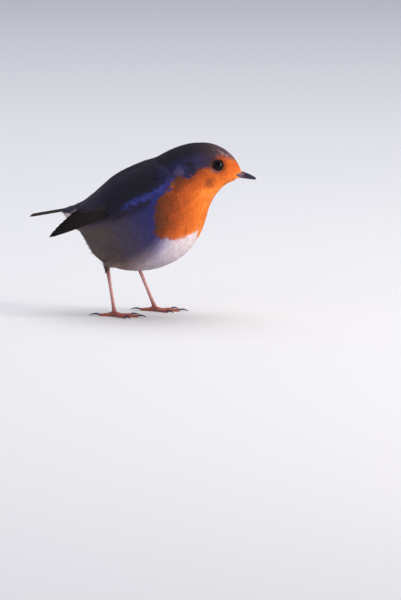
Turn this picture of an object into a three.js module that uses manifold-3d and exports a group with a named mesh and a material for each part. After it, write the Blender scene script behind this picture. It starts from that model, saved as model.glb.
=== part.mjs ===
// A robin, life size, standing still on the floor with its body leaning forward, its wings a little
// drooped and its head turned to its left.
//
// Millimetres. +X is the way the bird's body faces, +Y its left side and +Z up. The origin is on the
// floor, at the middle of the bounding box of the whole bird.
//
// Head, neck, breast, trunk and rump are lengths of one lofted body, parted by thin cuts. Wings and
// thighs lie on that body and are trimmed by it. Bill, eyes, tail, legs, feet and claws are pieces of
// their own.
import * as THREE from "three";
import { mergeVertices } from "three/addons/utils/BufferGeometryUtils.js";
import Module from "manifold-3d";

const wasm = await Module();
wasm.setup();

const { lerp, smoothstep, degToRad } = THREE.MathUtils;

// ---------------------------------------------------------------------------
// Driving dimensions
// ---------------------------------------------------------------------------

const GAP = 0.3; // thin cut between neighbouring pieces
const TRIM_GAP = 0.35; // gap where a piece is trimmed by the body that it lies on

const HEAD_TURN = degToRad(15); // head to the bird's left
const NECK_PIVOT_X = 26; // the upright line that the head turns about

const BILL_BASE = { x: 51.6, z: 75.1 }; // the gape line where the bill leaves the feathers
const BILL_PITCH = degToRad(13); // bill tip below the horizontal
const BILL_LENGTH = 9.4; // from inside the feathers to the tip
const BILL_DEPTH = 4.3; // both halves, at the base
const BILL_HALF_WIDTH = 2.3;

const EYE_AT = { x: 39.8, y: 6.8, z: 81.1 }; // middle of the eyeball, before the head is turned
const EYE_RADIUS = 3.2;
const EYE_OPENING = 2.8; // radius of the round opening between the lids
const EYE_FORWARD = degToRad(10); // each eye looks a little forward of sideways

const TAIL_LENGTH = 33; // from inside the rump to the tip
const TAIL_BASE = { x: -29.6, z: 57.0 };
const TAIL_SLOPE = degToRad(11); // tail tip lower than its base
const TAIL_HALF_WIDTH = { base: 4.6, tip: 7.0 };
const TAIL_THICKNESS = { base: 1.7, tip: 0.9 };
const TAIL_NOTCH = 1.6; // how much shorter the middle is than the sides

const TARSUS_LENGTH = 25.6;
const FOOT_SPREAD = 12.0; // from the middle line to each foot
const ANKLE_HEIGHT = 2.0; // where the toes meet, above the floor

const AROUND = 24; // points round the body
const ALONG = 33; // lengths along the body

// ---------------------------------------------------------------------------
// Solids and meshes
// ---------------------------------------------------------------------------

// A closed geometry as a manifold-3d solid, with its faces pointing out.
function toSolid(geometry) {
  const bare = geometry.index ? geometry.toNonIndexed() : geometry.clone();
  bare.deleteAttribute("normal");
  bare.deleteAttribute("uv");
  const merged = mergeVertices(bare, 1e-4);
  const vertProperties = new Float32Array(merged.attributes.position.array);
  const triVerts = new Uint32Array(merged.index.array);
  const solid = new wasm.Manifold(new wasm.Mesh({ numProp: 3, vertProperties, triVerts }));
  if (solid.volume() >= 0) return solid;
  for (let i = 0; i < triVerts.length; i += 3) {
    [triVerts[i + 1], triVerts[i + 2]] = [triVerts[i + 2], triVerts[i + 1]];
  }
  return new wasm.Manifold(new wasm.Mesh({ numProp: 3, vertProperties, triVerts }));
}

function toGeometry(solid) {
  const { numProp, numVert, vertProperties, triVerts } = solid.getMesh();
  const positions = new Float32Array(numVert * 3);
  for (let i = 0; i < numVert; i++) {
    positions.set(vertProperties.subarray(i * numProp, i * numProp + 3), i * 3);
  }
  const geometry = new THREE.BufferGeometry();
  geometry.setAttribute("position", new THREE.BufferAttribute(positions, 3));
  geometry.setIndex(new THREE.BufferAttribute(new Uint32Array(triVerts), 1));
  geometry.computeVertexNormals();
  return geometry;
}

// The largest body of a cut solid, without the crumbs that a cut can leave.
function largest(solid) {
  return solid.decompose().reduce((a, b) => (a.volume() > b.volume() ? a : b));
}

// A closed solid through rings of points, with a fan over each end.
function loft(rings) {
  const around = rings[0].length;
  const points = rings.flat();
  const ends = [rings[0], rings[rings.length - 1]].map((ring) =>
    ring.reduce((sum, p) => sum.add(p), new THREE.Vector3()).divideScalar(around),
  );
  points.push(...ends);
  const index = [];
  for (let i = 0; i < rings.length - 1; i++) {
    for (let j = 0; j < around; j++) {
      const a = i * around + j;
      const b = i * around + ((j + 1) % around);
      index.push(a, b, a + around, b, b + around, a + around);
    }
  }
  const first = points.length - 2;
  const lastRing = (rings.length - 1) * around;
  for (let j = 0; j < around; j++) {
    const next = (j + 1) % around;
    index.push(first, next, j, first + 1, lastRing + j, lastRing + next);
  }
  const geometry = new THREE.BufferGeometry().setFromPoints(points);
  geometry.setIndex(index);
  return toSolid(geometry);
}

// A smooth row of values through the rows of a table, at any place from 0 to the last row.
function smoothTable(rows) {
  const places = Float32Array.from(rows.keys());
  const curve = new THREE.CubicInterpolant(places, Float32Array.from(rows.flat()), rows[0].length);
  return (place) => Array.from(curve.evaluate(place));
}

// A round tube with a radius at each point of its path, flattened sideways by squash.
function taperedTube(path, radii, { around = 10, along = 16, squash = 1 } = {}) {
  const curve = new THREE.CatmullRomCurve3(path.map((p) => new THREE.Vector3(...p)));
  const radiusAt = smoothTable(radii.map((r) => [r]));
  const frames = curve.computeFrenetFrames(along, false);
  const rings = [];
  for (let i = 0; i <= along; i++) {
    const share = i / along;
    const centre = curve.getPoint(share);
    const [radius] = radiusAt(share * (radii.length - 1));
    const ring = [];
    for (let j = 0; j < around; j++) {
      const angle = (2 * Math.PI * j) / around;
      ring.push(
        centre
          .clone()
          .addScaledVector(frames.normals[i], radius * Math.cos(angle))
          .addScaledVector(frames.binormals[i], radius * squash * Math.sin(angle)),
      );
    }
    rings.push(ring);
  }
  return loft(rings);
}

// ---------------------------------------------------------------------------
// The turn of the head
// ---------------------------------------------------------------------------

// Turns a point about the neck by a share of the head's turn, from 0 at the breast to 1 at the head.
function turned(point, share) {
  const angle = HEAD_TURN * share;
  const x = point.x - NECK_PIVOT_X;
  return new THREE.Vector3(
    NECK_PIVOT_X + x * Math.cos(angle) - point.y * Math.sin(angle),
    x * Math.sin(angle) + point.y * Math.cos(angle),
    point.z,
  );
}

// ---------------------------------------------------------------------------
// The body: one loft from the bill to the tail
// ---------------------------------------------------------------------------

// Each station is a slanted slice: its point on the back, its point on the throat or belly, its
// greatest half width, and how high that lies, as a share of the way from belly to back.
const STATIONS = {
  billBase: [52.2, 77.3, 50.2, 72.2, 2.9, 0.5],
  lores: [50.8, 81.2, 47.3, 71.1, 5.2, 0.5],
  forehead: [48.1, 85.0, 44.2, 69.7, 7.6, 0.52],
  eye: [43.8, 88.7, 40.9, 66.6, 9.6, 0.56],
  crown: [38.2, 91.5, 37.7, 62.2, 11.0, 0.54],
  occiput: [31.4, 92.5, 35.6, 57.4, 12.8, 0.5],
  nape: [23.4, 91.7, 34.0, 51.7, 15.6, 0.46],
  neckBase: [14.8, 88.6, 32.0, 45.4, 18.8, 0.46],
  shoulder: [7.0, 84.3, 28.2, 38.7, 21.2, 0.47],
  breast: [-0.9, 81.0, 22.6, 32.2, 22.6, 0.48],
  middle: [-8.0, 78.0, 15.0, 27.3, 22.9, 0.49],
  belly: [-15.0, 74.0, 6.0, 24.0, 22.2, 0.51],
  loin: [-20.7, 69.2, -4.5, 22.9, 20.4, 0.53],
  rump: [-26.2, 64.2, -15.2, 24.5, 16.6, 0.56],
  vent: [-31.6, 59.8, -25.2, 30.2, 12.2, 0.58],
  tailCoverts: [-37.4, 57.0, -32.0, 41.8, 7.6, 0.66],
  lastCovert: [-45.4, 55.2, -42.4, 51.6, 4.4, 0.6],
};
const STATION_NAMES = Object.keys(STATIONS);
const stationAt = smoothTable(Object.values(STATIONS));
const place = (name) => STATION_NAMES.indexOf(name);
const SQUARENESS = { back: 2.15, belly: 1.95 }; // 2 is an ellipse

// The share of the head's turn that a slice of the body takes.
function turnShare(at) {
  return 1 - smoothstep(at, place("crown") + 0.5, place("shoulder"));
}

// The ring of points at a place along the body, grown outwards by a margin.
function bodyRing(at, margin = 0) {
  const [backX, backZ, frontX, frontZ, halfWidth, widest] = stationAt(at);
  const depth = Math.hypot(backX - frontX, backZ - frontZ);
  const up = [(backX - frontX) / depth, (backZ - frontZ) / depth];
  const centre = [lerp(frontX, backX, widest), lerp(frontZ, backZ, widest)];
  const ring = [];
  for (let j = 0; j < AROUND; j++) {
    const angle = (2 * Math.PI * j) / AROUND;
    const c = Math.cos(angle);
    const s = Math.sin(angle);
    const power = 2 / (c > 0 ? SQUARENESS.back : SQUARENESS.belly);
    const reach = (c > 0 ? 1 - widest : widest) * depth + margin;
    const rise = Math.sign(c) * Math.abs(c) ** power * reach;
    const side = Math.sign(s) * Math.abs(s) ** power * (halfWidth + margin);
    const point = new THREE.Vector3(centre[0] + rise * up[0], side, centre[1] + rise * up[1]);
    ring.push(turned(point, turnShare(at)));
  }
  return ring;
}

// A closed length of the body between two places.
function bodyLength(from, to, margin = 0) {
  const last = STATION_NAMES.length - 1;
  const steps = Math.max(3, Math.round((ALONG * (to - from)) / last));
  const rings = [];
  for (let i = 0; i <= steps; i++) rings.push(bodyRing(lerp(from, to, i / steps), margin));
  return loft(rings);
}

// The body's half width at a place seen from the side, or 0 outside its outline.
function bodySide(x, z) {
  const last = STATION_NAMES.length - 1;
  const ahead = (at) => {
    const [backX, backZ, frontX, frontZ] = stationAt(at);
    return (backX - frontX) * (z - frontZ) - (backZ - frontZ) * (x - frontX) < 0;
  };
  let low = place("crown");
  let high = last;
  if (ahead(low)) return 0;
  if (!ahead(high)) return 0;
  for (let i = 0; i < 24; i++) {
    const middle = (low + high) / 2;
    if (ahead(middle)) high = middle;
    else low = middle;
  }
  const [backX, backZ, frontX, frontZ, halfWidth, widest] = stationAt(low);
  const depth = Math.hypot(backX - frontX, backZ - frontZ);
  const rise = ((x - frontX) * (backX - frontX) + (z - frontZ) * (backZ - frontZ)) / depth ** 2;
  const power = rise > widest ? SQUARENESS.back : SQUARENESS.belly;
  const level = rise > widest ? (rise - widest) / (1 - widest) : (widest - rise) / widest;
  return level >= 1 ? 0 : halfWidth * (1 - level ** power) ** (1 / power);
}

// Where the body is parted, as places along it.
const CUTS = { head: 5.15, neck: 7.3, breast: 9.6, trunk: 13.1 };
const CUT_HALF = 0.02; // half a cut, as a place along the body

// ---------------------------------------------------------------------------
// Wings
// ---------------------------------------------------------------------------

// Each station of the folded wing, seen from the side: its lower edge, its upper edge, how far out the
// wing lies where the body no longer holds it out, its thickness, how deep it reaches inwards, and how
// much nearer to the bird's middle its upper edge is tucked, so that it meets the round of the back.
const WING_STATIONS = {
  bend: [18.6, 71.4, 17.6, 76.6, 17.5, 1.0, 3.0, 5.0],
  shoulder: [13.6, 68.4, 8.2, 80.2, 18.0, 2.0, 3.0, 9.0],
  forearm: [6.6, 64.8, 0.2, 77.4, 18.0, 2.3, 3.0, 9.0],
  coverts: [-1.6, 60.6, -8.2, 72.8, 17.4, 2.3, 3.0, 7.0],
  tertials: [-10.4, 56.0, -16.4, 68.0, 15.6, 2.0, 2.0, 5.0],
  secondaries: [-19.6, 52.2, -24.6, 62.4, 13.2, 1.7, 0.6, 3.5],
  primaries: [-28.4, 48.8, -32.0, 56.8, 11.2, 1.5, 0.2, 1.5],
  primaryTips: [-37.0, 45.4, -38.8, 51.0, 9.8, 1.2, 0, 0.4],
  tip: [-48.6, 40.5, -48.8, 41.3, 8.8, 0.8, 0, 0],
};
const WING_NAMES = Object.keys(WING_STATIONS);
const wingAt = smoothTable(Object.values(WING_STATIONS));
const WING_CUTS = { coverts: 3.7, secondaries: 5.8 };
const WING_ACROSS = 7; // points across each face of the wing

const smoothMax = (a, b, blend) => (a + b + Math.hypot(a - b, blend)) / 2;

// The ring of points round the right wing at a place along it. side is 1 for left and -1 for right.
function wingRing(at, side) {
  const [lowX, lowZ, highX, highZ, reach, thickness, depth, tuck] = wingAt(at);
  const outer = [];
  const inner = [];
  for (let j = 0; j < WING_ACROSS; j++) {
    const across = j / (WING_ACROSS - 1);
    const x = lerp(lowX, highX, across);
    const z = lerp(lowZ, highZ, across);
    const lens = Math.sqrt(1 - (2 * across - 1) ** 2);
    const base = smoothMax(bodySide(x, z), reach - tuck * across ** 1.4, 2.4) - 0.6;
    const swell = 0.35 * thickness * (1 - lens);
    outer.push(new THREE.Vector3(x, side * (base + thickness - swell), z));
    inner.push(new THREE.Vector3(x, side * (base - depth * lens + swell), z));
  }
  return [...outer, ...inner.reverse()];
}

function wingLength(from, to, side) {
  const steps = Math.max(3, Math.round((to - from) * 3));
  const rings = [];
  for (let i = 0; i <= steps; i++) rings.push(wingRing(lerp(from, to, i / steps), side));
  return loft(rings);
}

// ---------------------------------------------------------------------------
// Tail
// ---------------------------------------------------------------------------

// The closed tail: a thin plate, arched across, whose middle ends short of its sides.
function tailSolid(margin = 0) {
  const along = new THREE.Vector3(-Math.cos(TAIL_SLOPE), 0, -Math.sin(TAIL_SLOPE));
  const normal = new THREE.Vector3(-Math.sin(TAIL_SLOPE), 0, Math.cos(TAIL_SLOPE));
  const base = new THREE.Vector3(TAIL_BASE.x, 0, TAIL_BASE.z);
  const across = 7;
  const arch = 1.0;
  const cornerRound = 2.2;
  const rings = [];
  const steps = 8;
  for (let i = 0; i <= steps; i++) {
    const share = i / steps;
    const halfWidth = lerp(TAIL_HALF_WIDTH.base, TAIL_HALF_WIDTH.tip, share ** 0.8) + margin;
    const half = lerp(TAIL_THICKNESS.base, TAIL_THICKNESS.tip, share) / 2 + margin;
    const top = [];
    const under = [];
    for (let j = 0; j < across; j++) {
      const q = (2 * j) / (across - 1) - 1;
      const length = TAIL_LENGTH - TAIL_NOTCH * (1 - Math.abs(q)) - cornerRound * Math.abs(q) ** 5;
      const edge = 1 - 0.45 * Math.abs(q) ** 3;
      const point = (sign) =>
        base
          .clone()
          .addScaledVector(along, share * length)
          .addScaledVector(normal, arch * (1 - q * q) - arch / 2 + sign * half * edge)
          .add(new THREE.Vector3(0, halfWidth * q, 0));
      top.push(point(1));
      under.push(point(-1));
    }
    rings.push([...top, ...under.reverse()]);
  }
  return loft(rings);
}

// ---------------------------------------------------------------------------
// Bill and eyes
// ---------------------------------------------------------------------------

// One half of the bill, tapering to its tip. rise is 1 for the upper half and -1 for the lower.
function billHalf(rise, length, height) {
  const steps = 8;
  const around = 12;
  const bluntTip = 0.14;
  const hook = 0.5; // how far the tip drops below the gape line
  const rings = [];
  for (let i = 0; i <= steps; i++) {
    const share = i / steps;
    const taper = bluntTip + (1 - bluntTip) * (1 - share ** 1.3);
    const halfWidth = BILL_HALF_WIDTH * (0.12 + 0.88 * (1 - share) ** 1.1);
    const ring = [];
    for (let j = 0; j < around; j++) {
      const angle = (2 * Math.PI * j) / around;
      const lift = Math.sin(angle);
      const off = GAP / 2 + 0.1 + (lift > 0 ? height * taper * lift ** 0.9 : 0.1 * lift);
      const up = rise * off - hook * share ** 3;
      const forward = share * length;
      const x = BILL_BASE.x + forward * Math.cos(BILL_PITCH) + up * Math.sin(BILL_PITCH);
      const z = BILL_BASE.z - forward * Math.sin(BILL_PITCH) + up * Math.cos(BILL_PITCH);
      ring.push(turned(new THREE.Vector3(x, halfWidth * Math.cos(angle), z), 1));
    }
    rings.push(ring);
  }
  return loft(rings);
}

// The room in the face that the base of the bill sits in.
function billRoom() {
  const room = new THREE.SphereGeometry(1, 10, 6);
  room.scale(3.2, BILL_HALF_WIDTH + GAP + 0.2, BILL_DEPTH / 2 + GAP + 0.3);
  room.rotateY(BILL_PITCH);
  const centre = turned(new THREE.Vector3(BILL_BASE.x + 0.6, 0, BILL_BASE.z - 0.1), 1);
  room.rotateZ(HEAD_TURN);
  room.translate(centre.x, centre.y, centre.z);
  return toSolid(room);
}

function eyeCentre(side) {
  return turned(new THREE.Vector3(EYE_AT.x, side * EYE_AT.y, EYE_AT.z), 1);
}

function eyeSolid(side, radius, around = 14) {
  const centre = eyeCentre(side);
  const ball = new THREE.SphereGeometry(radius, around, 8);
  ball.translate(centre.x, centre.y, centre.z);
  return toSolid(ball);
}

// The room round an eye, with its round opening out through the side of the head.
function eyeSocket(side) {
  const reach = 8;
  const opening = new THREE.CylinderGeometry(EYE_OPENING + 0.5, EYE_OPENING, reach, 12);
  opening.translate(0, reach / 2, 0);
  const out = turned(new THREE.Vector3(NECK_PIVOT_X + Math.sin(EYE_FORWARD), side, 0), 1);
  out.x -= NECK_PIVOT_X;
  const turn = new THREE.Quaternion().setFromUnitVectors(
    new THREE.Vector3(0, 1, 0),
    out.normalize(),
  );
  opening.applyQuaternion(turn);
  const centre = eyeCentre(side);
  opening.translate(centre.x, centre.y, centre.z);
  return eyeSolid(side, EYE_RADIUS + GAP + 0.15, 8).add(toSolid(opening));
}

// ---------------------------------------------------------------------------
// Legs and feet
// ---------------------------------------------------------------------------

// Where each leg stands: the middle of the foot, and the way the tarsus leans back from it.
const LEGS = {
  right: { side: -1, footX: -12.8, lean: degToRad(9.5), heelIn: 0.8 },
  left: { side: 1, footX: 3.4, lean: degToRad(22), heelIn: 0.8 },
};

// Each toe: its way round from straight ahead, outwards positive, its length, its thickness at the
// base, and its claw's length.
const TOES = {
  middle: { angle: 6, length: 13.4, radius: 0.95, claw: 4.4 },
  inner: { angle: -30, length: 9.6, radius: 0.85, claw: 3.9 },
  outer: { angle: 40, length: 10.4, radius: 0.85, claw: 3.7 },
  hallux: { angle: 176, length: 8.2, radius: 1.0, claw: 5.4 },
};
const TOE_SINK = 0.62; // height of a toe's middle line, as a share of its radius
const FOOT_ROUND = 4.0; // from the middle of the foot to the thin cuts where the toes part

function footCentre(leg) {
  return new THREE.Vector3(leg.footX, leg.side * FOOT_SPREAD, ANKLE_HEIGHT);
}

function heelPoint(leg) {
  const foot = footCentre(leg);
  return new THREE.Vector3(
    foot.x - TARSUS_LENGTH * Math.sin(leg.lean),
    foot.y - leg.side * leg.heelIn,
    foot.z + TARSUS_LENGTH * Math.cos(leg.lean),
  );
}

// A point of a foot at a distance along one toe's line and at a height above the floor.
function toePoint(leg, toe, distance, height) {
  const angle = leg.side * degToRad(toe.angle);
  const foot = footCentre(leg);
  return [
    foot.x + distance * Math.cos(angle),
    foot.y + distance * Math.sin(angle),
    height,
  ];
}

function toeSolid(leg, toe) {
  const { length, radius } = toe;
  const rest = radius * TOE_SINK;
  const path = [
    toePoint(leg, toe, -0.4, ANKLE_HEIGHT),
    toePoint(leg, toe, 1.5, ANKLE_HEIGHT * 0.72),
    toePoint(leg, toe, 3.4, rest * 1.05),
    toePoint(leg, toe, length * 0.45, rest),
    toePoint(leg, toe, length * 0.62, rest * 1.15),
    toePoint(leg, toe, length * 0.8, rest * 0.92),
    toePoint(leg, toe, length * 0.92, rest),
    toePoint(leg, toe, length, rest * 1.3),
  ];
  const swell = [1.05, 1.05, 1.08, 0.88, 0.98, 0.84, 0.9, 0.5];
  return taperedTube(path, swell.map((s) => s * radius), { around: 8, along: 9 });
}

function clawSolid(leg, toe) {
  const { length, radius, claw } = toe;
  const start = length + GAP;
  const path = [
    toePoint(leg, toe, start, radius * 1.05),
    toePoint(leg, toe, start + claw * 0.35, radius * 1.45),
    toePoint(leg, toe, start + claw * 0.72, radius * 1.1),
    toePoint(leg, toe, start + claw * 0.98, 0.42),
  ];
  return taperedTube(path, [0.5, 0.46, 0.34, 0.2], { around: 6, along: 5, squash: 0.75 });
}

function belowFloor() {
  const slab = new THREE.BoxGeometry(300, 300, 20);
  slab.translate(0, 0, -10);
  return toSolid(slab);
}

// An upright cylinder round the middle of a foot.
function roundFoot(leg, radius) {
  const foot = footCentre(leg);
  const round = new THREE.CylinderGeometry(radius, radius, 12, 10);
  round.rotateX(Math.PI / 2);
  round.translate(foot.x, foot.y, foot.z);
  return toSolid(round);
}

// The pad and the first joint of each toe, which are one piece, flat where they rest on the floor.
function footSolid(leg) {
  const foot = footCentre(leg);
  const pad = new THREE.SphereGeometry(1.35, 8, 6);
  pad.scale(1, 1, 1.2);
  pad.translate(foot.x, foot.y, 1.1);
  const joined = Object.values(TOES).reduce(
    (solid, toe) => solid.add(toeSolid(leg, toe)),
    toSolid(pad),
  );
  return joined.intersect(roundFoot(leg, FOOT_ROUND)).subtract(belowFloor());
}

const HEEL_RADIUS = 1.3;

function heelBall(leg, radius) {
  const heel = heelPoint(leg);
  const ball = new THREE.SphereGeometry(radius, 8, 6);
  ball.translate(heel.x, heel.y, heel.z);
  return toSolid(ball);
}

function tarsusSolid(leg, margin = 0) {
  const heel = heelPoint(leg);
  const foot = footCentre(leg);
  const at = (share) => new THREE.Vector3().lerpVectors(foot, heel, share).toArray();
  const shares = [0.03, 0.12, 0.3, 0.6, 0.86, 1];
  const radii = [1.18, 0.95, 0.8, 0.8, 1.0, 1.1];
  const grown = radii.map((radius) => radius + margin);
  const shaft = taperedTube(shares.map(at), grown, { around: 8, along: 9 });
  return shaft.add(heelBall(leg, HEEL_RADIUS + margin));
}

// The feathered lower thigh, from inside the belly down to a cup over the heel.
function thighSolid(leg) {
  const heel = heelPoint(leg);
  const path = [
    [heel.x + 7.0, leg.side * 10.0, heel.z + 15],
    [heel.x + 4.4, leg.side * 10.4, heel.z + 8.5],
    [heel.x + 1.9, heel.y, heel.z + 3.6],
    [heel.x + 0.2, heel.y, heel.z + 0.4],
  ];
  const whole = taperedTube(path, [8.0, 6.2, 4.0, 2.3], { around: 12, along: 7 });
  return whole.subtract(heelBall(leg, HEEL_RADIUS + GAP));
}

// ---------------------------------------------------------------------------
// Materials
// ---------------------------------------------------------------------------

function finish(colour, roughness) {
  return new THREE.MeshStandardMaterial({ color: colour, roughness, metalness: 0 });
}

const OLIVE_BROWN = finish(0x5a4f42, 0.85);
const ORANGE = finish(0xd9692b, 0.85);
const GREY_BUFF = finish(0x8d8078, 0.88);
const FLIGHT_BROWN = finish(0x453a33, 0.7);
const HORN = finish(0x2e2729, 0.45);
const EYE_BLACK = finish(0x120d0b, 0.08);
const LEG_SKIN = finish(0xa9655a, 0.6);

// ---------------------------------------------------------------------------
// The bird
// ---------------------------------------------------------------------------

const bird = new THREE.Group();

function add(name, solid, material) {
  const mesh = new THREE.Mesh(toGeometry(solid), material);
  mesh.name = name;
  bird.add(mesh);
}

function addBody() {
  const last = STATION_NAMES.length - 1;
  const rooms = eyeSocket(1).add(eyeSocket(-1)).add(billRoom());
  const head = bodyLength(0, CUTS.head - CUT_HALF).subtract(rooms);
  add("head", largest(head), ORANGE);
  add("neck", bodyLength(CUTS.head + CUT_HALF, CUTS.neck - CUT_HALF), ORANGE);
  add("breast", bodyLength(CUTS.neck + CUT_HALF, CUTS.breast - CUT_HALF), ORANGE);
  const heelRooms = Object.values(LEGS).map((leg) => heelBall(leg, HEEL_RADIUS + GAP));
  const trunk = bodyLength(CUTS.breast + CUT_HALF, CUTS.trunk - CUT_HALF);
  add("trunk", largest(trunk.subtract(heelRooms[0]).subtract(heelRooms[1])), GREY_BUFF);
  const rump = bodyLength(CUTS.trunk + CUT_HALF, last).subtract(tailSolid(GAP));
  add("rump", largest(rump), OLIVE_BROWN);
}

function addHeadPieces() {
  add("bill_upper", billHalf(1, BILL_LENGTH, BILL_DEPTH * 0.48), HORN);
  add("bill_lower", billHalf(-1, BILL_LENGTH - 0.5, BILL_DEPTH * 0.42), HORN);
  add("eye_right", eyeSolid(-1, EYE_RADIUS), EYE_BLACK);
  add("eye_left", eyeSolid(1, EYE_RADIUS), EYE_BLACK);
}

function addWing(name, side, grownBody) {
  const last = WING_NAMES.length - 1;
  const half = 0.03; // half a cut, as a place along the wing
  const lengths = {
    coverts: [0, WING_CUTS.coverts - half, OLIVE_BROWN],
    secondaries: [WING_CUTS.coverts + half, WING_CUTS.secondaries - half, FLIGHT_BROWN],
    primaries: [WING_CUTS.secondaries + half, last, FLIGHT_BROWN],
  };
  for (const [part, [from, to, material]] of Object.entries(lengths)) {
    const solid = wingLength(from, to, side).subtract(grownBody);
    add(`wing_${name}_${part}`, largest(solid), material);
  }
}

function addLeg(name, leg, grownBody) {
  add(`thigh_${name}`, largest(thighSolid(leg).subtract(grownBody)), GREY_BUFF);
  const tarsus = tarsusSolid(leg);
  add(`tarsus_${name}`, tarsus, LEG_SKIN);
  const room = tarsusSolid(leg, GAP).translate([0, 0, -GAP]);
  const foot = footSolid(leg).subtract(room);
  add(`foot_${name}`, largest(foot), LEG_SKIN);
  const cut = roundFoot(leg, FOOT_ROUND + GAP).add(belowFloor());
  for (const [toe, size] of Object.entries(TOES)) {
    add(`toe_${name}_${toe}`, largest(toeSolid(leg, size).subtract(cut)), LEG_SKIN);
    add(`claw_${name}_${toe}`, clawSolid(leg, size), HORN);
  }
}

const grownBody = bodyLength(0, STATION_NAMES.length - 1, TRIM_GAP);
addBody();
addHeadPieces();
add("tail", tailSolid(), FLIGHT_BROWN);
addWing("right", -1, grownBody);
addWing("left", 1, grownBody);
for (const [name, leg] of Object.entries(LEGS)) addLeg(name, leg, grownBody);

// The middle of the bounding box comes to the origin, and the soles stay at floor level.
const box = new THREE.Box3().setFromObject(bird);
bird.position.set(-(box.min.x + box.max.x) / 2, -(box.min.y + box.max.y) / 2, 0);

const robin = new THREE.Group();
robin.add(bird);

export default robin;
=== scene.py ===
# %% [markdown]
# # A robin, life size
#
# The bird stands still with its body leaning forward and its head turned a little to its left.
# This lesson dresses the solid model of it in skin, feathers, bill, eyes and scaled legs.
#
# A small bird is mostly feathers: a thin skin lies well inside the outline that we see, and each
# feather is rooted in that skin and lies back over the roots of the next ones, as tiles do.
# So the order of work is skin first, then the small contour feathers, then the long vanes of the
# wings and tail, and the bare parts last.

import itertools
import math

import bmesh
import bpy
import numpy as np
from mathutils import Matrix, Vector
from mathutils.bvhtree import BVHTree


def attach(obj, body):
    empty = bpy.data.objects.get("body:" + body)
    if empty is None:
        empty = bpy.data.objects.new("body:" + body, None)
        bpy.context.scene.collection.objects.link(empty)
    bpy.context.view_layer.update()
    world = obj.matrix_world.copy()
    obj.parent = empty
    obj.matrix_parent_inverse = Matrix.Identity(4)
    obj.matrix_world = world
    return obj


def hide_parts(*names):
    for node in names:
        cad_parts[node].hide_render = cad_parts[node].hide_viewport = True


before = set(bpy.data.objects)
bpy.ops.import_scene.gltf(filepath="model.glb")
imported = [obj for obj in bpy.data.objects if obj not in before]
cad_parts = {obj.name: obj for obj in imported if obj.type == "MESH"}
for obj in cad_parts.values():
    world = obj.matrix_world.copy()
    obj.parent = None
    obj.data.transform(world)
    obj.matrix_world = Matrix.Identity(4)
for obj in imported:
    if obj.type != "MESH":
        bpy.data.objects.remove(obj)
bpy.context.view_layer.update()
MM = 0.001
SIDES = (("right", -1), ("left", 1))
rng = np.random.default_rng(7)

# %% [markdown]
# ## Helpers for modelling by hand
#
# Most tools act on all that is selected, and loading the frame leaves its solids selected, so each
# step starts by selecting nothing. A modifier is added, set and applied in one go, as it would be
# with the mouse.


# %% Selecting, copying and applying
def select_only(*objects):
    bpy.ops.object.select_all(action="DESELECT")
    for obj in objects:
        obj.select_set(True)
    bpy.context.view_layer.objects.active = objects[-1]


def apply_modifier(obj, kind, **settings):
    select_only(obj)
    modifier = obj.modifiers.new(kind.title(), kind)
    for name, value in settings.items():
        setattr(modifier, name, value)
    bpy.ops.object.modifier_apply(modifier=modifier.name)


def copy_of_node(name):
    """A loose copy of one solid, with its doubled corners merged."""
    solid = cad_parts[name]
    copy = bpy.data.objects.new("copy_" + name, solid.data.copy())
    bpy.context.scene.collection.objects.link(copy)
    copy.data.materials.clear()
    select_only(copy)
    bpy.ops.object.mode_set(mode="EDIT")
    bpy.ops.mesh.select_all(action="SELECT")
    bpy.ops.mesh.remove_doubles(threshold=0.01 * MM)
    bpy.ops.object.mode_set(mode="OBJECT")
    return copy


def join(name, objects):
    select_only(*objects)
    if len(objects) > 1:
        bpy.ops.object.join()
    joined = bpy.context.view_layer.objects.active
    joined.name = name
    joined.data.name = name
    return joined


def keep_largest_shell(obj):
    """A voxel remesh can leave small closed shells inside the outer one. Only the outer one stays."""
    mesh = bmesh.new()
    mesh.from_mesh(obj.data)
    unseen = set(mesh.verts)
    shells = []
    while unseen:
        front = [unseen.pop()]
        shell = list(front)
        while front:
            vert = front.pop()
            for edge in vert.link_edges:
                other = edge.other_vert(vert)
                if other in unseen:
                    unseen.remove(other)
                    shell.append(other)
                    front.append(other)
        shells.append(shell)
    shells.sort(key=len, reverse=True)
    for shell in shells[1:]:
        bmesh.ops.delete(mesh, geom=shell, context="VERTS")
    mesh.to_mesh(obj.data)
    mesh.free()
    return len(shells)


# %% Reading and writing meshes as arrays, in millimetres
def corners_of(obj):
    """Vertex places, vertex normals and triangles of a mesh, in millimetres."""
    mesh = obj.data
    points = np.empty(len(mesh.vertices) * 3, np.float32)
    mesh.vertices.foreach_get("co", points)
    normals = np.empty(len(mesh.vertices) * 3, np.float32)
    mesh.vertex_normals.foreach_get("vector", normals)
    mesh.calc_loop_triangles()
    triangles = np.empty(len(mesh.loop_triangles) * 3, np.int32)
    mesh.loop_triangles.foreach_get("vertices", triangles)
    points = points.reshape(-1, 3).astype(float) / MM
    return points, normals.reshape(-1, 3).astype(float), triangles.reshape(-1, 3)


def unit(vectors):
    return vectors / np.maximum(np.linalg.norm(vectors, axis=-1, keepdims=True), 1e-9)


def mesh_object(name, points, faces):
    """A new object from corner places in millimetres and rows of corner numbers."""
    mesh = bpy.data.meshes.new(name)
    faces = np.asarray(faces)
    mesh.vertices.add(len(points))
    mesh.vertices.foreach_set("co", (np.asarray(points) * MM).astype(np.float32).ravel())
    mesh.loops.add(faces.size)
    mesh.loops.foreach_set("vertex_index", faces.astype(np.int32).ravel())
    mesh.polygons.add(len(faces))
    starts = np.arange(len(faces), dtype=np.int32) * faces.shape[1]
    mesh.polygons.foreach_set("loop_start", starts)
    mesh.update(calc_edges=True)
    mesh.validate()
    obj = bpy.data.objects.new(name, mesh)
    bpy.context.scene.collection.objects.link(obj)
    return obj


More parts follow.
